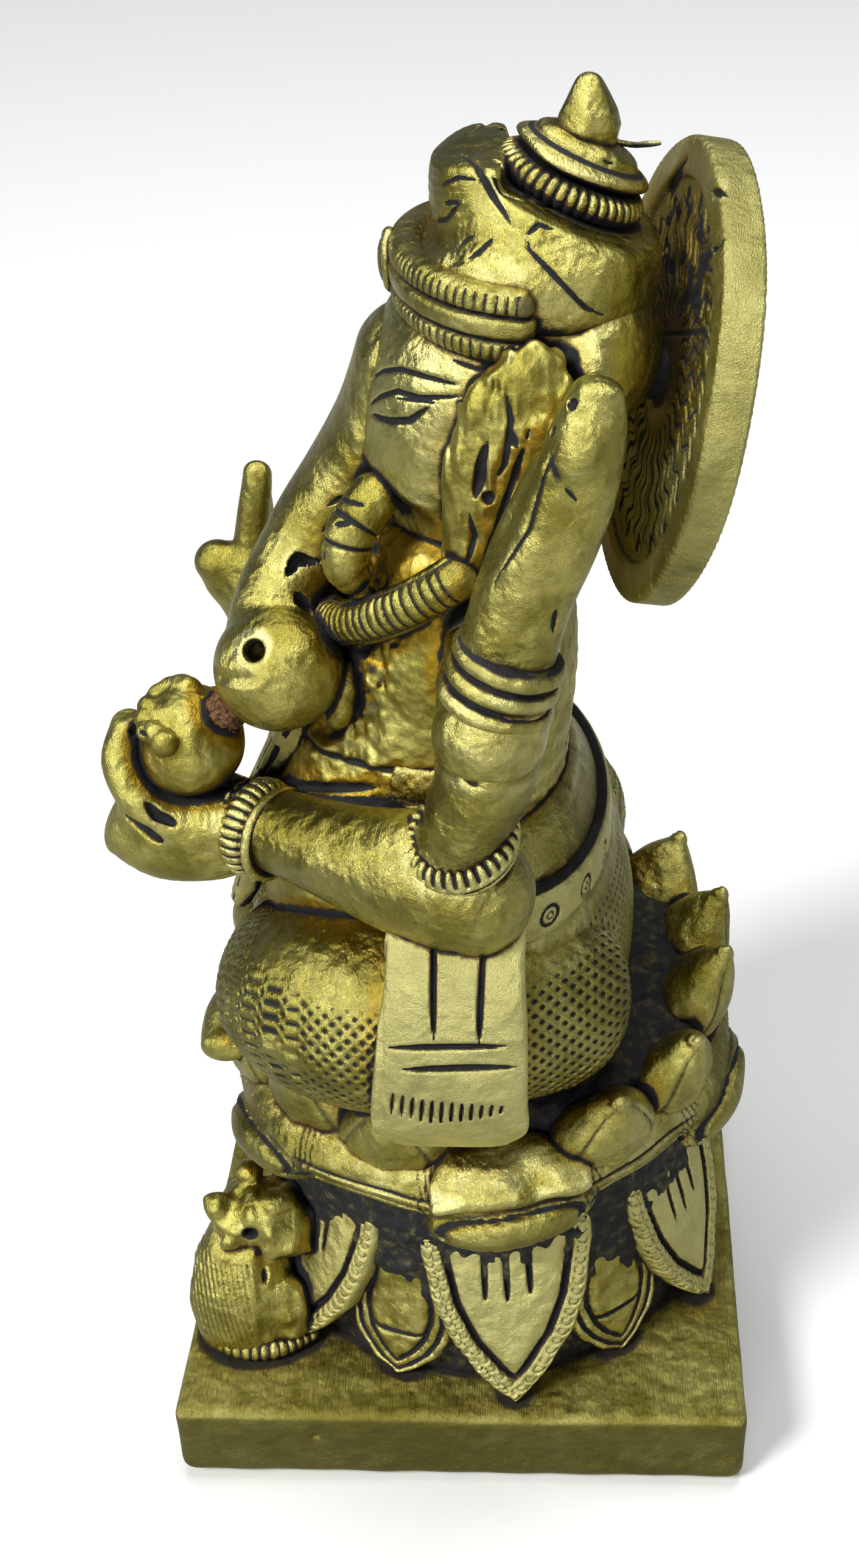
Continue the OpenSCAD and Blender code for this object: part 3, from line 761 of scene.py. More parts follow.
def front_bangles(p):
    q = to_local(p, BANGLE_AT, turn_z(BANGLE_TURN))
    r, a, t = np.hypot(q[0], q[2]), np.degrees(np.arctan2(q[2], q[0])), q[1]
    d = (np.hypot((r - 2.8) / 1.2, t / 1.4) - 1) * 1.2
    t = t * 1.15
    rib = ribs(a, 12, 0.22 / 0.07) * (np.abs(t) < 1.35)
    plain = np.hypot(r - 3.35, t - 1.9) - 0.5
    beads = np.hypot(r - 3.2, t + 1.8) - 0.42 - 0.1 * np.sin(np.radians(a * 22))
    d = smin(smin(d + 0.3 * rib, plain, 0.12), beads, 0.12)
    seam = most(mark(t, -1.45, 0.2), mark(t, 1.5, 0.2))
    return np.maximum(d, 1.6 - r), clamp01(0.9 * rib + seam)


ARMLET_AT = (20.6, 2.0, 66.9)


def armlet(p):
    q = to_local(p, ARMLET_AT, turn_y(8) @ turn_x(14))
    around = np.arctan2(q[1], q[0])
    r, t = np.hypot(q[0], q[1]), q[2] + 0.9 * np.cos(around)
    d = (np.hypot((r - 3.45) / 0.85, t / 1.2) - 1) * 0.85
    tooth = ribs(np.degrees(around), 12, 0.24 / 0.066) * ramp(-0.2, 0.3, t)
    line = mark(t, -0.5, 0.2)
    d = np.maximum(d + 0.35 * tooth + 0.3 * line, 2.4 - r)
    return d, clamp01(most(tooth, line))


SWEET = (9.7, -19.3, 68.4)


PALM = Sweep([(11.2, -15.0, 61.6, 3.2, 3.2), (10.6, -17.8, 61.2, 3.9, 4.2), (10.0, -21.2, 61.2, 4.4, 4.6),
              (9.6, -23.6, 62.4, 4.2, 4.0)], side=(0, 0, 1), power=2.6, ends=(1, 0.5))
FINGERS = Sweep([(12.8, -20.0, 62.6, 1.7, 1.5), (12.6, -22.6, 64.6, 1.9, 1.6),
                 (11.0, -24.2, 67.2, 1.9, 1.5), (9.8, -23.8, 69.6, 1.5, 1.3)])


def left_hand(p):
    d = smin(PALM.gap(p), FINGERS.gap(p), 0.9)
    cut = stroke(*line_gap(p, [(13.6, -24.2, 64.6), (14.2, -22.2, 63.2), (14.0, -20.2, 61.8)]), 0.75)
    wrist = -(p[0] - 11.8) * WRIST_X - (p[1] + 14.0) * WRIST_Y
    d = smax(d, 0.2 - wrist, 0.3)
    return d + 0.7 * cut + 0.16 * waves(p, 3.4, 73), clamp01(cut * 1.4)


def sweets(p):
    d = ellipsoid(p, SWEET, (4.4, 4.2, 4.3))
    facet = to_local(p, SWEET)
    for way, at in (((0.86, -0.25, 0.44), 3.5), ((0.5, 0.62, 0.6), 3.6), ((0.6, -0.75, 0.25), 3.7)):
        d = smax(d, (col(way) * facet).sum(0) / np.linalg.norm(way) - at, 0.8)
    rng = np.random.RandomState(74)
    for k in range(14):
        a = math.radians(150 + 205 * ((k * 0.618) % 1))
        e = math.radians(24 + 52 * ((k * 0.37 + 0.1) % 1))
        way = np.array([math.cos(e) * math.cos(a), math.cos(e) * math.sin(a), math.sin(e)])
        size = 0.8 + 0.25 * rng.rand()
        d = smin(d, ellipsoid(p, np.array(SWEET) + way * 3.95, (size, size, size)), 0.25)
    return d + 0.1 * waves(p, 2.4, 75), no_mask(p)


def braze(p):
    d = ellipsoid(p, (9.9, -16.0, 71.2), (1.7, 1.6, 1.6))
    return d + 0.7 * (grain(p, 0.6, 76) - 0.5) + 0.3 * (grain(p, 0.3, 77) - 0.5), np.full_like(d, 0.25)


def right_hand(p):
    palm = Sweep([(-11.4, -15.6, 64.4, 3.0, 2.6), (-12.8, -17.6, 68.4, 3.4, 2.4),
                  (-13.4, -17.9, 72, 3.2, 2.1)], side=(1, 0, 0), power=2.4)
    first = Sweep([(-12.4, -17.8, 72, 1.6, 1.7), (-12.6, -17.0, 76, 1.4, 1.4),
                   (-12.8, -16.4, 80.2, 1.1, 1.2)])
    second = Sweep([(-14.6, -17.6, 72, 1.5, 1.6), (-14.8, -17.1, 75, 1.4, 1.3), (-15, -16.9, 78, 1.0, 1.1)])
    knob = ellipsoid(p, (-12.6, -20.4, 72.2), (2.0, 2.0, 1.9))
    stem = Sweep([(-12.4, -18, 67.5, 1.9, 2.0), (-12.6, -20, 70.4, 1.8, 1.7)]).gap(p)
    d = smin(smin(palm.gap(p), first.gap(p), 0.6), second.gap(p), 0.5)
    d = smin(d, smin(knob, stem, 0.8), 0.7)
    return d + 0.08 * waves(p, 2.2, 78), no_mask(p)


def rear_arm(p):
    base = Sweep([(11.6, 4.8, 78.0, 4.2, 4.2), (16, 4.6, 76.6, 4.0, 4.0), (19.2, 4.4, 75.8, 3.8, 3.8),
                  (20.6, 4.2, 75.6, 3.6, 3.6)], side=(0, 1, 0)).gap(p)
    neck = Sweep([(20.0, 4.2, 75.6, 3.8, 3.7), (19.5, 5.2, 79, 3.2, 3.2)], side=(1, 0, 0)).gap(p)
    d = smin(base, neck, 1.2)
    return d + 0.1 * waves(p, 4, 81), no_mask(p)


REAR_RINGS = ((-1.7, 4.05), (0.0, 3.95), (1.6, 3.85))
REAR_SEAMS = (-0.85, 0.8, -2.5, 2.3)


def rear_bangles(p):
    q = to_local(p, (19.6, 5.1, 79.7), turn_x(-18))
    r = np.hypot(q[0], q[1])
    d = np.full(p.shape[1], FAR, np.float32)
    for at, wide in REAR_RINGS:
        d = np.minimum(d, (np.hypot((r - wide + 0.85) / 1.0, (q[2] - at) / 0.78) - 1) * 0.78)
    seam = most(*[mark(q[2], at, 0.42) for at in REAR_SEAMS])
    d = smin(d, np.maximum(r - 3.35, np.abs(q[2]) - 2.4), 0.2)
    chip = 0.25 * (grain(p, 0.8, 82) - 0.5)
    return d + chip * seam, clamp01(seam * (0.65 + 0.8 * (grain(p, 1.6, 83) - 0.3)))


REAR_HAND = Sweep([(19.4, 5.6, 82.0, 3.3, 3.1), (19.6, 6.9, 86, 3.1, 2.8), (19.9, 8.6, 90, 2.9, 2.6),
                   (20.0, 10.0, 94, 2.7, 2.4), (20.0, 11.0, 97.8, 2.3, 2.1), (19.9, 11.4, 99.8, 1.7, 1.6)],
                  side=(0, 1, 0), power=2.3, ends=(0.6, 0.7))


def rear_hand(p):
    tip = ellipsoid(p, (21.3, 10.4, 96.6), (1.5, 1.7, 2.4), turn_x(-16))
    curl = ellipsoid(p, (20.9, 8.6, 95.2), (1.1, 1.0, 1.2))
    edge = Sweep([(18.0, 4.4, 84.6, 1.2, 1.0), (18.2, 6.0, 89.4, 1.3, 1.0), (18.6, 8.2, 94.4, 1.1, 0.9)],
                 side=(0, 1, 0)).gap(p)
    d = smin(smin(smin(REAR_HAND.gap(p), tip, 0.5), curl, 0.35), edge, 0.5)
    return d + 0.09 * waves(p, 3, 84), clamp01(mark(tip, 0, 0.5) * mark(curl, 0, 0.6))


# ---- Head ----

FACE = Sweep([(0, -0.2, 87.8, 10.2, 6.5), (0, 1.6, 90.6, 10.9, 7.9), (0, 3.8, 94, 11.2, 8.6),
              (0, 5.6, 97.6, 10.7, 7.9), (0, 6.4, 101, 10.0, 6.8), (0, 6.8, 103, 9.6, 6.4)],
             power=2.25, ends=(0.4, 0.3))


def head(p):
    neck = ellipsoid(p, (0, 2.4, 85.4), (9.4, 7.0, 5.0))
    nape = ellipsoid(p, (0, 11.4, 97.2), (11.2, 4.7, 6.4))
    d = smin(smin(FACE.gap(p), neck, 0.8), nape, 1.2)
    return d + 0.1 * waves(p, 5, 91), no_mask(p)


TRUNK = Sweep([(0, -1.8, 94.5, 6.2, 4.4), (0, -4.2, 90.2, 5.9, 3.6), (0.2, -7.0, 86, 5.2, 3.3),
               (1.6, -9.9, 82, 4.4, 3.1), (4.0, -12.0, 78.4, 3.9, 3.2), (6.8, -12.6, 76, 3.7, 3.4)],
              power=2.2)
BALL = (9.8, -11.9, 74.7)


def trunk(p):
    """The trunk and the ball at its tip, which has a drilled nostril and a crease."""
    hole, _ = line_gap(p, [(13.9, -13.2, 78.6), (11.6, -12.8, 77)])
    ball = smax(ellipsoid(p, BALL, (4.8, 4.8, 4.6)), 0.75 - hole, 0.35)
    crease = line_gap(p, [(9.4, -16.4, 75.6), (12.2, -15.6, 75.4), (14.4, -13.2, 76.2), (14.6, -11, 77.6)])
    d = smin(TRUNK.gap(p), ball + 0.3 * stroke(*crease, 0.7), 0.5)
    return d + 0.07 * waves(p, 4, 92), clamp01(1.3 - hole / 0.9)


TUSK = Sweep([(8.2, -4.2, 87.6, 2.0, 1.8), (9.4, -5.8, 85.6, 1.9, 1.8), (9.9, -6.3, 83.4, 1.8, 1.7),
              (9.9, -6.0, 82.4, 1.5, 1.4)])


def tusk(p):
    d, s, u, v = TUSK.chart(p)
    arcs = most(mark(s, 2.2, 0.26), mark(s, 3.7, 0.26)) * (p[0] > 9.0)
    return d + 0.25 * arcs, clamp01(arcs)


EAR = Sweep([(11.4, 2.8, 84.4, 2.2, 1.8), (12.2, 4.6, 88, 4.0, 2.0), (12.6, 6.2, 92.4, 4.8, 1.9),
             (12.3, 7.0, 96.6, 4.0, 1.7), (11.8, 7.4, 98.8, 2.2, 1.3)], side=(0, 1, 0), power=2.6)


UPRIGHT = np.array([[1], [1.6], [0.45]], np.float32)


def ear(p):
    local = EAR.local(p)
    rim = mark(local[1] / local[4], -0.62, 0.16)
    rough = 0.55 * (grain(p, 1.5, 94) - 0.5) + 0.5 * (grain(p * UPRIGHT, 0.7, 95) - 0.5)
    return EAR.gap(p, local) + 0.2 * rim + rough * 0.9, clamp01(0.35 * rim * grain(p, 1, 93))


BAND = Sweep(arc((0, 5.9, 100.9), 10.8, 7.7, -184, 2, -0.9, 2.45, 1.0, 18), side=(0, 0, 1), fine=3, power=3.2)


def headband(p):
    """Three rounded strips: the outer two ribbed, with dark grooves between."""
    d, s, u, v = BAND.chart(p)
    u = u * np.sign(BAND.u[10][2])
    strips = [np.sqrt(np.maximum(1 - ((u - at) / 0.8) ** 2, 0)) for at in (-1.62, 0.0, 1.62)]
    rib = ribs(s, 0.62, 0.17) * (np.abs(np.abs(u) - 1.62) < 0.6)
    groove = mark(np.abs(u), 0.81, 0.24)
    edge = mark(u, -2.45, 0.3) + 0.3 * mark(u, 2.45, 0.3)
    return d - 0.3 * most(*strips) + 0.2 * rib + 0.4 * groove, clamp01(0.75 * rib + groove + edge)


def gem(p):
    d = ellipsoid(p, (0, -3.0, 101.9), (1.5, 0.9, 2.3))
    cut = mark(ellipsoid(p, (0, -3.3, 101.9), (1.0, 0.9, 1.7)), 0, 0.22)
    return d + 0.14 * cut, clamp01(cut * 0.6)


KNOT_AT = (0, 9.6, 107.2)
KNOT_TURN = turn_x(-24.0)


def knot_chart(p):
    """Radius, angle and height round the leaning top knot."""
    q = to_local(p, KNOT_AT, KNOT_TURN)
    return np.hypot(q[0], q[1]), np.degrees(np.arctan2(q[1], q[0])), q[2]


CROWN = Sweep([(0, 7.0, 100.6, 10.6, 8.6), (0, 6.7, 103.2, 10.6, 8.8), (0, 6.2, 106, 8.8, 6.8),
               (0, 5.0, 108.4, 7.0, 5.4), (0, 4.4, 110.2, 6.2, 4.4)], power=2.3, ends=(0.3, 0.12))


def crown(p):
    """The domed crown, cut away behind to seat the top knot."""
    x, y, z = p
    back = ellipsoid(p, (0, 10.6, 101.6), (9.4, 5.2, 4.6), turn_x(-24))
    knot_height = knot_chart(p)[2]
    seat = smax(-0.9 - knot_height, 5.8 - y - 0.12 * np.abs(x), 0.6)
    d = smax(smax(smin(CROWN.gap(p), back, 1.2), -seat, 0.5), z - 109.7, 0.7)
    return d + 0.1 * waves(p, 3, 96), no_mask(p)


def bead_ring(p):
    r, a, t = knot_chart(p)
    d = np.hypot((r - 4.2) / 1.2, t) - 1
    rib = ribs(a, 8.6, 0.2 / 0.092)
    d = smin(d + 0.32 * rib, np.maximum(r - 4.4, np.abs(t) - 0.9), 0.1)
    return d, clamp01(rib * (r > 4.3) + 0.4 * (np.abs(t) > 0.85))


def collar(p):
    r, a, t = knot_chart(p)
    d = np.hypot(r / 4.7, t - 1.7) - 1
    d = smin(d, (np.hypot(r / 3.4, (t - 2.7) / 0.8) - 1) * 0.8, 0.25)
    seam = most(mark(t, 0.85, 0.35), mark(t, 2.35, 0.22) * (r > 2.8))
    return d + 0.08 * waves(p, 2.6, 97), clamp01(seam)


def finial(p):
    q = to_local(p, (0, 10.8, 109.2))
    wide = np.interp(q[2], [-0.5, 0.6, 1.7, 2.6, 4.6, 5.2], [1.7, 2.1, 2.35, 2.1, 1.0, 0.6])
    wide = wide.astype(np.float32)
    d = (np.hypot(q[0], q[1]) - wide) * 0.9
    for k in range(6):
        a = math.radians(60 * k + 20)
        d = smax(d, math.cos(a) * q[0] + math.sin(a) * q[1] - wide * 0.93, 0.25)
    d = smax(smax(d, q[2] - 5.1, 0.5), -q[2] - 0.4, 0.3)
    burr, run = line_gap(p, [(-0.6, 12.6, 109.6), (-1.4, 14.0, 109.2), (-1.2, 15.6, 109.4)])
    d = smin(d, burr - 0.32 * (1 - 0.7 * run), 0.2)
    low = clamp01(1 - (q[2] + 0.2) / 0.9)
    return d + 0.06 * waves(p, 1.4, 98), clamp01(low * 0.8)


# ---- Disc behind the head ----

HALO_AT = (0, 15.4, 93.6)
HALO_TURN = turn_z(9.3) @ turn_x(90 - 10.8)


def halo_chart(p):
    q = to_local(p, HALO_AT, HALO_TURN)
    return np.hypot(q[0], q[1]), np.arctan2(q[1], q[0]), q[2]


def spokes(a, count, r, turn=0.0):
    """Distance round the disc to the nearest of that many spokes."""
    return np.abs((a * count / (2 * math.pi) + turn) % 1 - 0.5) * 2 * math.pi * r / count


def halo(p):
    """The disc: a sunk face with fine and coarse rays, a ring of slots and a filed rim."""
    r, a, t = halo_chart(p)
    plate = smax(r - 16.4 + 0.12 * np.sin(3 * a + 1) + 0.08 * np.sin(7 * a), np.abs(t + 1.5) - 1.5, 0.5)
    sunk = (1 - ramp(13.3, 14.0, r)) * 0.75
    bent = a + 0.05 * np.sin(2.3 * r)
    fine = clamp01(1 - spokes(bent, 44, r) / 0.3) * ramp(4, 6, r) * (1 - ramp(12.6, 13.3, r))
    coarse = clamp01(1 - spokes(bent, 26, r, 0.2) / 0.42) * ramp(3, 5, r) * (1 - ramp(11.5, 13.2, r))
    slot = clamp01(1.6 - most(spokes(a, 22, 12.3) / 0.42, np.abs(r - 12.3) / 0.75) * 1.2)
    front = ramp(-1.6, -0.6, t)
    cut = most(fine * 0.8, coarse, slot)
    # blotches that darken the sunk face towards its top
    dark_towards_top = ramp(0.50, 0.66, grain(p, 1.3, 90)) * ramp(94, 102, p[2]) * (1 - ramp(11, 13, r)) * front
    filed = mark((a * 150 / (2 * math.pi) + 2 * grain(p, 2.2, 99)) % 1, 0.5, 0.3) * (r > 15.6)
    d = plate + (sunk + 0.45 * cut) * front + 0.05 * filed
    return d * 0.9, clamp01((most(cut, dark_towards_top) + 0.5 * mark(r, 13.6, 0.4)) * front)


def pin(p):
    r, _, t = halo_chart(p)
    d = smax(r - 1.9, np.abs(t - 0.8) - 2.4, 0.4)
    return d, np.full_like(d, 0.6)


# ---- Engraved lines, as (half width, points on the surface) ----
# Where a node is in BOTH_SIDES, its lines are cut on its left side and mirrored.

STROKES = {
    "crown": [
        (0.34, [(2.4, 2.3, 109.7), (5.6, 3.6, 109.8), (6.4, 3.9, 109.3), (6.8, 4.6, 108.2),
                (8.5, 6, 106.5)]),
        (0.26, [(1.9, -0.3, 103.8), (4.1, 0.7, 105.7), (5.3, 1.4, 106.2), (6.3, 2.5, 107.7)]),
        (0.22, [(5.1, 1.3, 107.2), (6.2, 2.4, 107.6)]),
        (0.22, [(6.9, 2, 104.7), (7.1, 2.8, 105.4), (7.5, 3.4, 105.8)]),
        (0.3, [(8.5, 3, 104.6), (8.4, 3.8, 105), (8.3, 4.6, 105.9)]),
        (0.26, [(8.8, 6.8, 106.2), (9.3, 7, 105.4), (10.3, 9.3, 103.3), (10.2, 10.1, 102.4),
                (9.9, 10.6, 101.8), (9.9, 11.2, 101.5), (9.5, 11.8, 101.1)]),
        (0.26, [(8.8, 6.8, 106.2), (8.3, 7.6, 106.7), (8.3, 8.6, 106.4)]),
        (0.5, [(4.4, 4.7, 109.7), (4, 5, 109.4)]),
        (0.45, [(0.4, 5.8, 108.1), (0.4, 6.2, 107.7)]),
        (0.35, [(4, 5.4, 108.1), (3.8, 5.9, 107.8)]),
        (0.4, [(5.5, 7.3, 107.2), (4.8, 8.1, 106.7), (3.7, 8.9, 106.5)]),
        (0.3, [(6.4, 4.6, 109.3), (6.4, 5.2, 108.1), (6, 6.6, 107.6)]),
        (0.28, [(5.4, 6.2, 107.7), (4.1, 7.1, 107.3)]),
        (0.2, [(4.8, 1.1, 108.3), (5.9, 2.4, 109.1), (6.4, 3.8, 109)]),
    ],
    "head": [
        (0.26, [(4.9, -4.4, 95), (6.7, -3.2, 96.3), (8.2, -1.8, 97), (9.6, -0, 97), (10.6, 2.3, 96.8)]),
        (0.28, [(6, -4.5, 93.5), (7.3, -3.4, 94.7), (8.6, -2, 95.6), (9.8, -0.5, 95.6), (10.8, 2.4, 96.1)]),
        (0.34, [(6.7, -4.2, 93.2), (8.7, -2.7, 93.5), (9.8, -1.2, 94), (10.3, 0.2, 95.2)]),
        (0.16, [(8.8, -2.2, 95.2), (9.7, -0.9, 95.4), (10.5, 0.8, 95.5)]),
        (0.24, [(10.9, 4.8, 96.8), (11.1, 3.5, 93.3), (11, 3, 91.4), (10.5, 2, 88.5)]),
        (0.9, [(10.2, 7.3, 97.4), (9.7, 7.9, 97.5), (9.5, 8.5, 97.7), (9.5, 9.2, 97.8), (10, 9.8, 98.1)]),
        (0.5, [(10.1, 8.5, 96.5), (10, 9.2, 96.6), (10.3, 9.8, 96.8)]),
        (0.2, [(9.8, 1.7, 98.3), (10.7, 3.9, 97.8), (10.6, 5.4, 98.4)]),
    ],
    "trunk": [
        (0.28, [(5.3, -8, 85.6), (5.3, -7, 86.2), (4.7, -5.3, 85.2)]),
        (0.3, [(5.5, -8.5, 83.7), (5.2, -7.6, 84.1), (4.7, -6.4, 83.9)]),
        (0.8, [(6.8, -11.1, 80.8), (6, -10.8, 81.1), (5.7, -10.4, 81.6), (5.6, -9.7, 81.4),
                (5.7, -8.9, 81.4)]),
        (0.7, [(7.4, -10.6, 79.6), (7.4, -10.2, 78.6), (7.6, -9.7, 78.2), (8.2, -9.2, 78)]),
    ],
    "left_tusk": [
        (0.26, [(8.5, -6.5, 87.7), (9.8, -5.8, 88), (10.3, -4.6, 87.9)]),
        (0.3, [(10.5, -6.8, 86.6), (10.8, -5.6, 86.8)]),
        (0.25, [(10.6, -7.7, 84.7), (10.8, -7.7, 84)]),
    ],
    "left_ear": [
        (0.5, [(14.2, 4.2, 94.3), (14.1, 3.6, 91.5), (14.3, 3.3, 90.3)]),
        (0.4, [(14.2, 5.6, 95.2), (14.5, 6.2, 94)]),
        (0.6, [(14.3, 3.9, 90.7), (14.5, 4.5, 90.1)]),
        (0.35, [(14.2, 7, 95.2), (14.2, 5.1, 89.3), (13.6, 4.2, 86.5), (13.5, 3.7, 85), (12.8, 3.1, 83.2)]),
        (0.3, [(13.7, 5.5, 97.5), (14, 5.8, 95.7), (14.4, 5.5, 93.7), (14.4, 5.4, 92.9),
                (14.5, 4.6, 91.5)]),
        (0.3, [(14.2, 2.8, 89.3), (13.8, 3.2, 87.3), (13.5, 2.5, 84.9)]),
    ],
    "front_left_arm": [
        (0.35, [(23.3, 2.4, 74.3), (23.9, 3.5, 73.6)]),
        (0.22, [(17.3, -2, 67.1), (19.1, -1.8, 67.4), (20.8, -1.4, 67.2), (22.1, -1.1, 66.6),
                (23.5, 0.4, 65.9), (24, 2.1, 65.8)]),
    ],
    "front_left_hand": [
        (0.55, [(14, -22.1, 65.5), (14.1, -21.4, 64.4), (14.1, -20.6, 64), (14.4, -19.9, 63.7)]),
        (0.5, [(11, -23.3, 70), (10.8, -22.8, 69.7)]),
        (0.5, [(11, -17.5, 64.9), (10.7, -16.3, 64.6), (9.4, -15.2, 64.5)]),
    ],
    "sweets_bowl": [
        (0.3, [(12.5, -22.2, 70.8), (13.1, -21.5, 70.9)]),
    ],
    "rear_left_hand": [
        (0.5, [(20.6, 9.6, 99.5), (21.1, 10.3, 99.5)]),
        (0.5, [(20.1, 8.4, 97.4), (20.9, 9.1, 97.8)]),
        (0.2, [(21.8, 9, 97.5), (21.6, 7.8, 94.2), (21.8, 7.2, 91.6), (21.4, 4.8, 87.6)]),
        (0.3, [(22, 8.8, 86.1), (21.7, 8.6, 84.2)]),
        (0.18, [(22.2, 9.3, 94.7), (22.3, 10.2, 93.7)]),
    ],
    "torso": [
        (0.8, [(8.6, -6, 75.7), (9.4, -5, 76.1)]),
        (0.5, [(8.7, -12.3, 63.4), (9.9, -10.6, 64.2), (10.5, -9.1, 64.6), (11, -8.4, 64.9),
                (12.1, -4.9, 65.7)]),
    ],
    "middle_petals": [
        (0.3, [(16.8, -16.9, 34.2), (19, -14.5, 34.7), (21, -11.6, 34.5), (21.4, -10.9, 34.3),
                (21.5, -10.3, 33.8), (22.3, -8.9, 33.4), (22.2, -8.4, 32.6), (22.9, -6.8, 32.5),
                (23, -6, 32.2)]),
        (0.22, [(17.9, -16.5, 33.3), (19.5, -14.8, 33.6), (20.4, -13.2, 33.3), (20.7, -11.9, 32.3)]),
        (0.2, [(20.5, -12.3, 34.8), (20.9, -12, 34.4), (20.9, -11.7, 33.6)]),
        (0.2, [(21.2, -11.1, 34.6), (21.7, -10.5, 33.4)]),
        (0.2, [(21.9, -9.9, 34.1), (22, -9.6, 33.5), (21.8, -9.4, 32.4)]),
        (0.25, [(22.5, 11.6, 34.2), (20.4, 14.9, 35), (14.1, 21.8, 34.7)]),
    ],
    "crown_collar": [
        (0.2, [(3, 11.7, 109.3), (2.7, 12.5, 109)]),
    ],
    "halo_disc": [
        (0.4, [(4.3, 18.8, 107.7), (6, 19.3, 108), (6.6, 19.8, 107.9)]),
        (0.25, [(3.5, 18.4, 102.3), (5.3, 19, 103.8), (9, 19.1, 105.4), (9.5, 19.5, 106),
                (9.3, 19.9, 106.3)]),
        (0.25, [(-1.7, 16.3, 95.8), (7.2, 18.5, 99.2), (12, 18.8, 100.9)]),
        (0.5, [(-3.2, 17.7, 108), (-5.4, 17.1, 106.2), (-8.1, 16.8, 104.3), (-8.7, 16.5, 102.9)]),
        (0.4, [(-7.2, 16.7, 102.1), (-7, 16.6, 101.5), (-7.2, 16.5, 100.9), (-6.5, 16.2, 99.3),
                (-6.5, 16.1, 98.7)]),
    ],
}
BOTH_SIDES = ("head", "crown", "headband")


def engraved(node, shape):
    """The shape with its engraved lines cut in, each sampled only inside its own box."""
    lines = STROKES.get(node, [])

    def shaped(p):
        d, mask = shape(p)
        q = np.stack([np.abs(p[0]), p[1], p[2]]) if node in BOTH_SIDES else p
        for wide, points in lines:
            ends = np.array(points, np.float32)
            near = ((q > col(ends.min(0) - 2)) & (q < col(ends.max(0) + 2))).all(0)
            if near.any():
                cut = stroke(*line_gap(q[:, near], points), wide, 0.8)
                d[near] += 1.2 * wide * clamp01(1.3 * cut)
                mask[near] = np.maximum(mask[near], 1.9 * cut)
        return d, clamp01(mask)
    return shaped


# ---- Materials ----

class Graph:
    """A short way to write shader nodes."""

    def __init__(self, name):
        self.material = bpy.data.materials.new(name)
        self.material.use_nodes = True
        self.tree = self.material.node_tree
        self.shader = self.tree.nodes["Principled BSDF"]
        place = self.tree.nodes.new("ShaderNodeTexCoord")
        scale = self.tree.nodes.new("ShaderNodeMapping")
        scale.inputs["Scale"].default_value = (1 / MM, 1 / MM, 1 / MM)
        self.tree.links.new(place.outputs["Object"], scale.inputs["Vector"])
        self.place = scale.outputs["Vector"]

    def put(self, socket, value):
        if isinstance(value, bpy.types.NodeSocket):
            self.tree.links.new(value, socket)
        elif value is not None:
            socket.default_value = value

    def math(self, kind, a, b=None):
        node = self.tree.nodes.new("ShaderNodeMath")
        node.operation = kind
        for socket, value in zip(node.inputs, (a, b)):
            self.put(socket, value)
        return node.outputs[0]

    def times(self, a, b):
        return self.math("MULTIPLY", a, b)

    def uneven(self, value, noise, amount):
        """The value, pushed up and down by noise."""
        return self.math("ADD", value, self.times(self.math("SUBTRACT", noise, 0.5), amount))

    def upright(self, high, low, most_of_it):
        """That much on vertical faces, none on level ones."""
        parts = self.tree.nodes.new("ShaderNodeSeparateXYZ")
        self.put(parts.inputs[0], self.tree.nodes.new("ShaderNodeNewGeometry").outputs["Normal"])
        return self.remap(self.math("ABSOLUTE", parts.outputs[2]), high, low, 0.0, most_of_it)

    def remap(self, value, low, high, to_low=0.0, to_high=1.0):
        node = self.tree.nodes.new("ShaderNodeMapRange")
        node.interpolation_type = "SMOOTHSTEP"
        for socket, v in zip(node.inputs, (value, low, high, to_low, to_high)):
            self.put(socket, v)
        return node.outputs[0]

    def mix(self, factor, a, b):
        node = self.tree.nodes.new("ShaderNodeMix")
        node.data_type = "RGBA"
        self.put(node.inputs[0], factor)
        for socket, value in ((node.inputs[6], a), (node.inputs[7], b)):
            self.put(socket, (*value, 1) if isinstance(value, tuple) else value)
        return node.outputs[2]

    def attribute(self, name):
        node = self.tree.nodes.new("ShaderNodeAttribute")
        node.attribute_name = name
        return node.outputs["Fac"]

    def noise(self, scale, detail=3.0, rough=0.55, stretch=None, turn=(0, 0, 0)):
        """Noise with features of about 1 / scale millimetres."""
        place = self.place
        if stretch:
            node = self.tree.nodes.new("ShaderNodeMapping")
            node.inputs["Scale"].default_value = stretch
            node.inputs["Rotation"].default_value = [math.radians(v) for v in turn]
            self.put(node.inputs["Vector"], place)
            place = node.outputs["Vector"]
        node = self.tree.nodes.new("ShaderNodeTexNoise")
        self.put(node.inputs["Vector"], place)
        node.inputs["Scale"].default_value = scale
        node.inputs["Detail"].default_value = detail
        node.inputs["Roughness"].default_value = rough
        return node.outputs["Fac"]

    def cells(self, scale):
        """Small hammered facets."""
        node = self.tree.nodes.new("ShaderNodeTexVoronoi")
        node.feature = "SMOOTH_F1"
        self.put(node.inputs["Vector"], self.place)
        node.inputs["Scale"].default_value = scale
        node.inputs["Smoothness"].default_value = 0.3
        return node.outputs["Distance"]

    def bump(self, height, distance, strength, normal=None):
        node = self.tree.nodes.new("ShaderNodeBump")
        node.inputs["Strength"].default_value = strength
        node.inputs["Distance"].default_value = distance
        self.put(node.inputs["Height"], height)
        self.put(node.inputs["Normal"], normal)
        return node.outputs["Normal"]


# Worn brass on rubbed edges, and the colour that a painted highlight lightens whole pieces toward
RUBBED_AND_HIGHLIGHT = (0.86, 0.81, 0.34)
BRIGHT = (0.56, 0.51, 0.15)
GOLD = (0.31, 0.27, 0.05)
OLIVE = (0.125, 0.11, 0.02)
AMBER = (0.38, 0.24, 0.02)
BROWN = (0.16, 0.085, 0.022)
BLACK = (0.012, 0.012, 0.014)


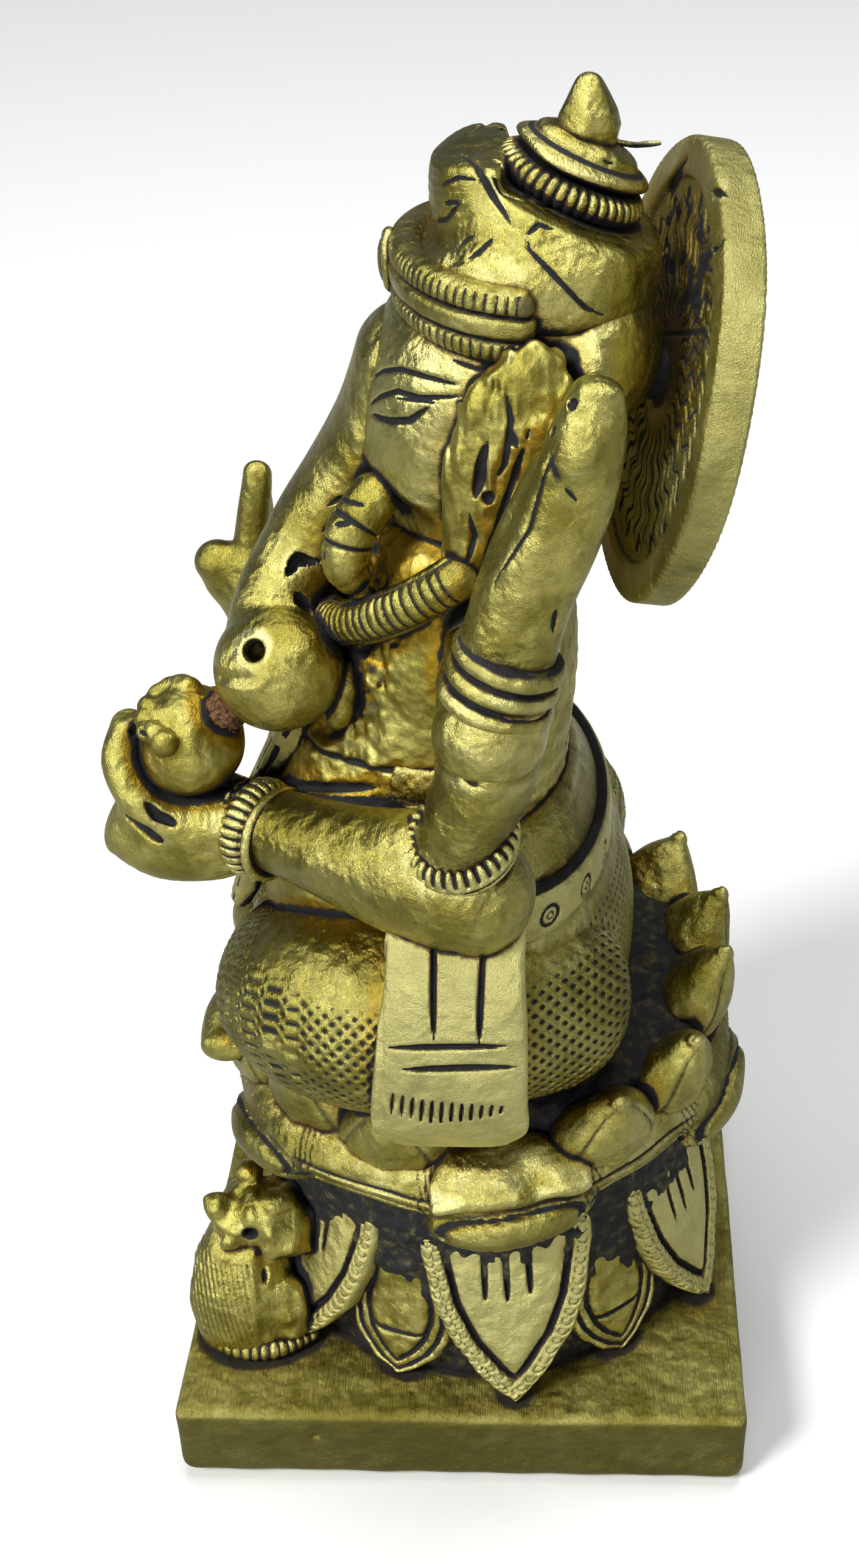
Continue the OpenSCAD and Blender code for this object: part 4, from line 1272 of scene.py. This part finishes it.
def bare_brass(g, mottle, brushed, lift, scratch, painted_shade_amount):
    """Clouded and brushed metal, brightest on its worn edges; some finishes darken the whole piece toward
    olive as painted shade, and some lighten it toward the rubbed colour as a painted highlight.
    """
    colour = g.mix(g.remap(g.noise(0.22, 4), 0.32, 0.66), GOLD, BRIGHT)
    # less olive mottle where a painted highlight is set
    colour = g.mix(g.times(g.remap(mottle, 0.45, 0.75), 0.45 - lift * 0.3), colour, OLIVE)
    colour = g.mix(g.times(g.remap(brushed, 0.52, 0.72), 0.35 * scratch), colour, OLIVE)
    # painted shade: the whole piece darkened toward olive
    if painted_shade_amount:
        colour = g.mix(painted_shade_amount, colour, OLIVE)
    # painted highlight: the whole piece lightened toward the rubbed colour
    if lift:
        colour = g.mix(0.6 * lift, colour, RUBBED_AND_HIGHLIGHT)
    return g.mix(g.times(g.remap(g.attribute("edge"), 0.25, 0.75), 0.75), colour, RUBBED_AND_HIGHLIGHT)


def black_patina_and_shade(g, hollow, deep, mottle, speck, black):
    """How black each point is: patina with painted shade in hidden corners and recesses, and black filling in
    every engraved line.
    """
    hidden = g.math("ADD", g.times(hollow, 0.85), g.times(deep, 0.55))
    # patina with painted shade: enclosed points darkened toward black
    sunk = g.times(g.remap(g.uneven(hidden, mottle, 0.9), 0.62, 0.98), black)
    filled = g.remap(g.uneven(g.attribute("cut"), speck, 0.25), 0.22, 0.58)
    return g.math("MAXIMUM", sunk, filled)


def metal_bumps(g, brushed, scratch):
    """Soft lumps, hammered facets, casting grit and brush lines."""
    lumps = g.bump(g.noise(0.6, 2, 0.5), 0.0009, 0.42)
    dents = g.bump(g.cells(0.55), 0.00035, 0.35, lumps)
    grit = g.bump(g.noise(4.0, 4, 0.6), 0.00007, 0.4, dents)
    return g.bump(brushed, 0.00018, scratch, grit)


def brass(name, brush=(0, 0, 0), lift=0.0, stain=0.5, black=1.0, rough=0.22, scratch=0.5,
          painted_side_shade=0.0, painted_shade_amount=0.0):
    """Cast brass: rubbed bright where it stands proud; stained in its recesses and black there, as patina
    with painted shade; black in its engraved lines. Some finishes also paint shade on upright faces, some
    over the whole piece, and some paint a highlight over the whole piece.
    """
    g = Graph(name)
    hollow, deep = g.attribute("hollow"), g.attribute("deep")
    mottle = g.noise(1.1, 5, 0.65)
    speck = g.noise(3.6, 4, 0.7)
    brushed = g.noise(1.0, 4, 0.6, (0.35, 9.0, 9.0), brush)
    colour = bare_brass(g, mottle, brushed, lift, scratch, painted_shade_amount)
    colour = g.mix(g.remap(g.uneven(deep, mottle, 0.5), 0.22, 0.62, 0.0, stain), colour, AMBER)
    brown = g.remap(g.uneven(hollow, speck, 0.6), 0.28, 0.62)
    colour = g.mix(g.times(brown, 0.8 * black), colour, BROWN)
    # black: patina with painted shade in enclosed spots, and the engraved lines
    patina_and_shade_mask = black_patina_and_shade(g, hollow, deep, mottle, speck, black)
    colour = g.mix(patina_and_shade_mask, colour, BLACK)
    # painted shade: upright faces darkened toward olive
    if painted_side_shade:
        colour = g.mix(g.upright(0.6, 0.2, painted_side_shade), colour, OLIVE)
    g.put(g.shader.inputs["Base Color"], colour)
    g.put(g.shader.inputs["Metallic"], g.remap(patina_and_shade_mask, 0.3, 1.0, 1.0, 0.25))
    dull = g.math("ADD", rough, g.times(g.remap(mottle, 0.3, 0.8), 0.16))
    dull = g.math("ADD", dull, g.times(brown, 0.2))
    g.put(g.shader.inputs["Roughness"], g.remap(patina_and_shade_mask, 0.2, 0.9, dull, 0.72))
    g.put(g.shader.inputs["Normal"], metal_bumps(g, brushed, scratch))
    return g.material


def braze_metal():
    g = Graph("braze_red")
    speck = g.noise(3.2, 4, 0.7)
    colour = g.mix(g.remap(speck, 0.35, 0.65), (0.06, 0.03, 0.018), (0.34, 0.17, 0.07))
    g.put(g.shader.inputs["Base Color"], colour)
    g.put(g.shader.inputs["Metallic"], 0.6)
    g.put(g.shader.inputs["Roughness"], g.remap(speck, 0.2, 0.8, 0.7, 0.45))
    g.put(g.shader.inputs["Normal"], g.bump(speck, 0.0004, 0.8))
    return g.material


FINISH = {
    "cast": brass("cast_brass", rough=0.19),
    "band": brass("band_brass", stain=0.45, black=0.45),
    # painted shade: the low and arm copies are darkened toward olive
    "low": brass("painted_shade_brass", rough=0.2, painted_shade_amount=0.3),
    "arm": brass("arm_brass", brush=(0, 90, 20), stain=0.35, rough=0.19, scratch=0.45, painted_shade_amount=0.25),
    # painted highlight: the face copy is lightened toward the rubbed colour
    "face": brass("face_brass", brush=(0, 90, 20), lift=0.6, stain=0.35, rough=0.2, scratch=0.35),
    "smooth": brass("smooth_brass", brush=(0, 90, 20), stain=0.35, rough=0.20, scratch=0.45),
    # painted shade: the slab's upright sides darkened toward olive
    "plate": brass("brushed_slab", brush=(0, 0, -38), stain=0.25, black=0.9, rough=0.34, scratch=0.9,
                   painted_side_shade=0.75),
    # painted highlight: the copy for sashes, belt and lower petals is lightened toward the rubbed colour
    "cloth": brass("painted_highlight_sash", brush=(25, 0, 65), lift=1.0, stain=0.15, rough=0.30, scratch=0.7),
    "stained": brass("stained_brass", brush=(0, 60, 0), stain=0.85, rough=0.3, scratch=0.4),
    "dark": brass("recess_brass", stain=0.9, black=1.3, rough=0.42, scratch=0.3),
    # painted highlight: the disc copy is lightened toward the rubbed colour
    "disc": brass("filed_disc", brush=(90, 0, 0), lift=0.5, stain=0.7, black=0.65, rough=0.28,
                  scratch=0.9),
    "braze": braze_metal(),
}


# ---- Building the pieces ----

def right(shape):
    return lambda p: shape(mirror_x(p))


def ring_of(shape, low, high, step, angles, sizes=None):
    """One petal's mesh and mask, turned round the flower."""
    points, _, quads = polygonise(shape, low, high, step * COARSE)
    mask = in_chunks(shape, points.T.astype(np.float32))[1]
    sizes = sizes or [(1, 1, 1)] * len(angles)
    middle = np.array([0, LOTUS_Y, 0])
    turned = [points * np.array(size) @ turn_z(angle).T + middle for angle, size in zip(angles, sizes)]
    numbered = [quads + count * len(points) for count in range(len(angles))]
    return np.concatenate(turned), np.concatenate(numbered), np.tile(mask, len(angles))


# Each piece: its node, shape, grid step in millimetres and finish.
SINGLES = [
    ("plinth", slab, 0.3, "plate"), ("lotus_core", drum, 0.3, "dark"), ("middle_petals", flange, 0.22, "low"),
    ("mouse_body", mouse_body, 0.16, "cast"), ("mouse_head", mouse_head, 0.16, "stained"),
    ("mouse_tail", mouse_tail, 0.16, "cast"), ("hips", hips, 0.18, "low"),
    ("front_sash", front_sash, 0.18, "cloth"), ("waist_belt", belt, 0.2, "cloth"),
    ("torso", torso, 0.22, "dark"), ("back_wrap", back_wrap, 0.2, "cast"),
    ("necklace", necklace, 0.17, "cast"), ("pendant", pendant, 0.16, "cast"),
    ("front_left_hand", left_hand, 0.15, "stained"), ("front_right_hand", right_hand, 0.2, "cast"),
    ("sweets_bowl", sweets, 0.17, "stained"), ("braze_spot", braze, 0.15, "braze"),
    ("head", head, 0.15, "face"), ("trunk", trunk, 0.16, "smooth"),
    ("headband", headband, 0.17, "band"), ("headband_gem", gem, 0.14, "cast"),
    ("crown", crown, 0.15, "smooth"), ("crown_bead_ring", bead_ring, 0.15, "cast"),
    ("crown_collar", collar, 0.18, "cast"), ("finial", finial, 0.16, "smooth"),
    ("halo_disc", halo, 0.18, "disc"), ("halo_pin", pin, 0.3, "dark"),
]
# Each mirrored pair: the left node, its shape, the steps on the left and the hidden right, and the finish.
PAIRS = [
    ("left_leg", leg, 0.17, 0.24, "low"), ("left_foot", foot, 0.2, 0.24, "cast"),
    ("left_sash", sash, 0.15, 0.2, "cloth"), ("front_left_arm", front_arm, 0.17, 0.24, "arm"),
    ("front_left_bangles", front_bangles, 0.15, 0.18, "cast"),
    ("front_left_armlet", armlet, 0.15, 0.18, "cast"),
    ("rear_left_arm", rear_arm, 0.22, 0.24, "smooth"), ("rear_left_bangles", rear_bangles, 0.17, 0.2, "cast"),
    ("rear_left_hand", rear_hand, 0.15, 0.24, "smooth"), ("left_tusk", tusk, 0.15, 0.18, "smooth"),
    ("left_ear", ear, 0.15, 0.24, "dark"),
]
for left_node, shape, left_step, right_step, kind in PAIRS:
    SINGLES.append((left_node, shape, left_step, kind))
    SINGLES.append((left_node.replace("left", "right"), right(shape), right_step, kind))
MARGIN = 3.0
UNDERSIDE = -0.5
CRUMB = 300


def single(node, shape, step):
    """The mesh and groove mask of a piece, set in its own CAD node's box."""
    shift = col(node_centre(node) - design_centre(node))
    carved = engraved(node, shape)

    def placed(p):
        return carved(p - shift)

    low, high = (np.array(corner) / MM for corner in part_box(node))
    low, high = low - MARGIN, high + MARGIN
    low[2] = max(low[2], UNDERSIDE)
    points, _, quads = polygonise(placed, low, high, step * COARSE)
    points, quads = largest_only(points, quads, CRUMB)
    return points, quads, in_chunks(placed, points.T.astype(np.float32))[1]


LOWER_AT = PETAL_TURN + np.array([0, 54, 120, 180, 240, 306])
SECONDARY_AT = PETAL_TURN + np.array([28, 88, 150, 210, 272, 332])
DROOP_AT = np.array([7.0])
UPPER_AT = DROOP_AT + 24 * np.arange(1, 15)


def upper_sizes():
    """Uneven scales along, across and up: shorter toward the flower's ends, lower toward its left."""
    rng = np.random.RandomState(7)
    sizes = []
    for turn in np.radians(UPPER_AT):
        along, across, up = [1 + spread * rng.normal() for spread in (0.02, 0.05, 0.012)]
        along *= (0.965 + 0.04 * abs(math.sin(2 * turn))) * (1 - 0.055 * abs(math.sin(turn)))
        up *= 1 - 0.04 * (math.cos(turn) > 0.3)
        sizes.append((along, across, up))
    return sizes


def petals():
    """The four petal shapes, each made once and set round the flower."""
    upper = ring_of(upper_petal, (14, -6, 32), (26, 6, 44), 0.22, UPPER_AT, upper_sizes())
    droop = ring_of(droop_petal, (14, -6, 32), (27, 6, 40), 0.22, DROOP_AT)
    row = (np.concatenate([upper[0], droop[0]]),
           np.concatenate([upper[1], droop[1] + len(upper[0])]),
           np.concatenate([upper[2], droop[2]]))
    return {
        "lower_petals": ring_of(lower_petal, (16, -8, 8), (25, 8, 28), 0.18, LOWER_AT),
        "secondary_petals": ring_of(secondary_petal, (16, -6, 8), (24, 6, 20), 0.2, SECONDARY_AT),
        "upper_petals": row,
    }


def vertex_normals(points, quads):
    a, b, c, d = (points[quads[:, i]] for i in range(4))
    face = np.cross(c - a, d - b)
    total = np.zeros_like(points)
    for i in range(4):
        for axis in range(3):
            total[:, axis] += np.bincount(quads[:, i], face[:, axis], len(points))
    return total / np.maximum(np.linalg.norm(total, axis=1), 1e-9)[:, None]


class Nearness:
    """How far any point is from the whole statue's surface, from one level set."""

    def __init__(self, parts, voxel=0.4, reach=8):
        self.voxel, self.reach = voxel, reach
        points, quads, start = [], [], 0
        for p, q, _ in parts:
            points.append(p)
            quads.append(q + start)
            start += len(p)
        points, quads = np.concatenate(points), np.concatenate(quads)
        self.low = np.floor(points.min(0) / voxel).astype(int) - reach - 2
        high = np.ceil(points.max(0) / voxel).astype(int) + reach + 2
        field = openvdb.FloatGrid.createLevelSetFromPolygons(
            points.astype(np.float32), quads=quads.astype(np.uint32),
            transform=openvdb.createLinearTransform(voxelSize=voxel), halfWidth=float(reach))
        self.values = np.zeros(high - self.low, np.float32)
        field.copyToArray(self.values, ijk=tuple(int(v) for v in self.low))

    def at(self, points):
        q = points / self.voxel - self.low
        q = np.clip(q, 0, np.array(self.values.shape) - 1.001)
        base = np.floor(q).astype(int)
        f = q - base
        total = np.zeros(len(points))
        for i in (0, 1):
            for j in (0, 1):
                for k in (0, 1):
                    w = (f[:, 0] if i else 1 - f[:, 0]) * (f[:, 1] if j else 1 - f[:, 1])
                    w = w * (f[:, 2] if k else 1 - f[:, 2])
                    total += w * self.values[base[:, 0] + i, base[:, 1] + j, base[:, 2] + k]
        return total


def add_mesh(name, points, quads, marks, material):
    mesh = bpy.data.meshes.new(name)
    mesh.vertices.add(len(points))
    mesh.vertices.foreach_set("co", (points * MM).astype(np.float32).ravel())
    mesh.loops.add(quads.size)
    mesh.loops.foreach_set("vertex_index", quads.astype(np.int32).ravel())
    mesh.polygons.add(len(quads))
    mesh.polygons.foreach_set("loop_start", np.arange(0, quads.size, 4, dtype=np.int32))
    mesh.polygons.foreach_set("use_smooth", np.ones(len(quads), bool))
    for key, values in marks.items():
        layer = mesh.attributes.new(key, "FLOAT", "POINT")
        layer.data.foreach_set("value", values.astype(np.float32))
    mesh.update(calc_edges=True)
    mesh.validate()
    mesh.materials.append(material)
    made = bpy.data.objects.new(name, mesh)
    bpy.context.scene.collection.objects.link(made)
    return made


def build_all():
    with ThreadPoolExecutor(4) as pool:
        jobs = {node: pool.submit(single, node, shape, step) for node, shape, step, _ in SINGLES}
        made = petals()
        made.update({node: job.result() for node, job in jobs.items()})
    finish = {node: kind for node, _, _, kind in SINGLES}
    finish.update({"lower_petals": "cloth", "secondary_petals": "cast", "upper_petals": "cast"})
    whole = Nearness(made.values())
    for node in sorted(made):
        points, quads, cut = made[node]
        signed = (points[quads[:, 0]] * np.cross(points[quads[:, 1]], points[quads[:, 2]])).sum()
        if signed < 0:
            quads = quads[:, ::-1]
        out = vertex_normals(points, quads)
        marks = {"cut": cut}
        # How enclosed each point is, near and broad: the materials darken enclosed points as patina with
        # painted shade. The edge mark is how convex each point is, for worn bright edges.
        marks["hollow"] = 1 - clamp01(whole.at(points + out * 0.9) / 0.9)
        marks["deep"] = 1 - clamp01(whole.at(points + out * 3.0) / 3.0)
        marks["edge"] = 1 - clamp01(-whole.at(points - out * 0.9) / 0.9)
        piece = add_mesh("cast_" + node, points, quads, marks, FINISH[finish[node]])
        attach(piece, BODY)
        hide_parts(node)


build_all()


# ---- Floor, lights and camera ----

def floor_material(seen, bounced, rough):
    """Pale where the camera sees it; the darker tone keeps its glare off the underside of the figure."""
    g = Graph("pale_floor")
    direct = g.tree.nodes.new("ShaderNodeLightPath").outputs["Is Camera Ray"]
    g.put(g.shader.inputs["Base Color"], g.mix(direct, bounced, seen))
    g.put(g.shader.inputs["Roughness"], rough)
    return g.material


def add_floor():
    mesh = bpy.data.meshes.new("floor")
    half = 3.0
    corners = [(-half, -half, 0), (half, -half, 0), (half, half, 0), (-half, half, 0)]
    mesh.from_pydata(corners, [], [(0, 1, 2, 3)])
    mesh.materials.append(floor_material((0.93, 0.93, 0.925), (0.36, 0.36, 0.35), 0.9))
    made = bpy.data.objects.new("floor", mesh)
    bpy.context.scene.collection.objects.link(made)
    made.location.z = CAD_BOX[0][2] - 0.0002


def add_area(name, place, size, power, colour=(1, 1, 1), aim=(0, 0, 0.06)):
    data = bpy.data.lights.new(name, "AREA")
    data.shape = "RECTANGLE"
    data.size, data.size_y = size
    data.energy = power
    data.color = colour
    made = bpy.data.objects.new(name, data)
    bpy.context.scene.collection.objects.link(made)
    made.location = place
    made.rotation_euler = (Vector(aim) - Vector(place)).to_track_quat("-Z", "Y").to_euler()


def add_lights():
    world = bpy.data.worlds.new("studio")
    bpy.context.scene.world = world
    world.use_nodes = True
    tree = world.node_tree
    backdrop = tree.nodes["Background"]
    backdrop.inputs["Color"].default_value = (0.92, 0.96, 1, 1)
    seen = tree.nodes.new("ShaderNodeMapRange")
    tree.links.new(tree.nodes.new("ShaderNodeLightPath").outputs["Is Camera Ray"], seen.inputs["Value"])
    seen.inputs["To Min"].default_value = 0.13
    seen.inputs["To Max"].default_value = 0.85
    tree.links.new(seen.outputs["Result"], backdrop.inputs["Strength"])
    sun = bpy.data.lights.new("key", "SUN")
    sun.energy = 2.8
    sun.angle = math.radians(17)
    made = bpy.data.objects.new("key", sun)
    bpy.context.scene.collection.objects.link(made)
    made.rotation_euler = (-Vector((0.30, -0.34, 0.42))).to_track_quat("-Z", "Y").to_euler()
    add_area("top", (-0.06, 0.02, 0.60), (0.26, 0.26), 2.0)
    add_area("front", (0.60, -0.06, 0.16), (0.30, 0.20), 0.95)
    add_area("back_edge", (0.10, 0.55, 0.30), (0.10, 0.30), 0.3)
    bpy.context.scene.view_settings.view_transform = "Standard"


def add_camera():
    """The camera looks from the figure's left and above, a little turned."""
    pitch, yaw, roll = math.radians(33.5), math.radians(-2.0), math.radians(-0.9)
    ahead = Vector((-math.cos(yaw) * math.cos(pitch), math.sin(yaw) * math.cos(pitch), -math.sin(pitch)))
    across = ahead.cross(Vector((0, 0, 1))).normalized()
    up = across.cross(ahead)
    right_way = across * math.cos(roll) + up * math.sin(roll)
    up_way = -across * math.sin(roll) + up * math.cos(roll)
    turn = Matrix((right_way, up_way, -ahead)).transposed()
    data = bpy.data.cameras.new("camera")
    made = bpy.data.objects.new("camera", data)
    bpy.context.scene.collection.objects.link(made)
    made.matrix_world = Matrix.Translation(Vector((0.1262, 0.0106, 0.1416))) @ turn.to_4x4()
    data.sensor_width = 36.0
    data.sensor_fit = "AUTO"
    data.lens = 3000.0 / 2576.0 * 36.0
    data.shift_x = -(871 - 705.5) / 2576.0
    data.shift_y = 0.0
    data.clip_start = 0.005
    bpy.context.scene.camera = made


add_floor()
add_lights()
add_camera()
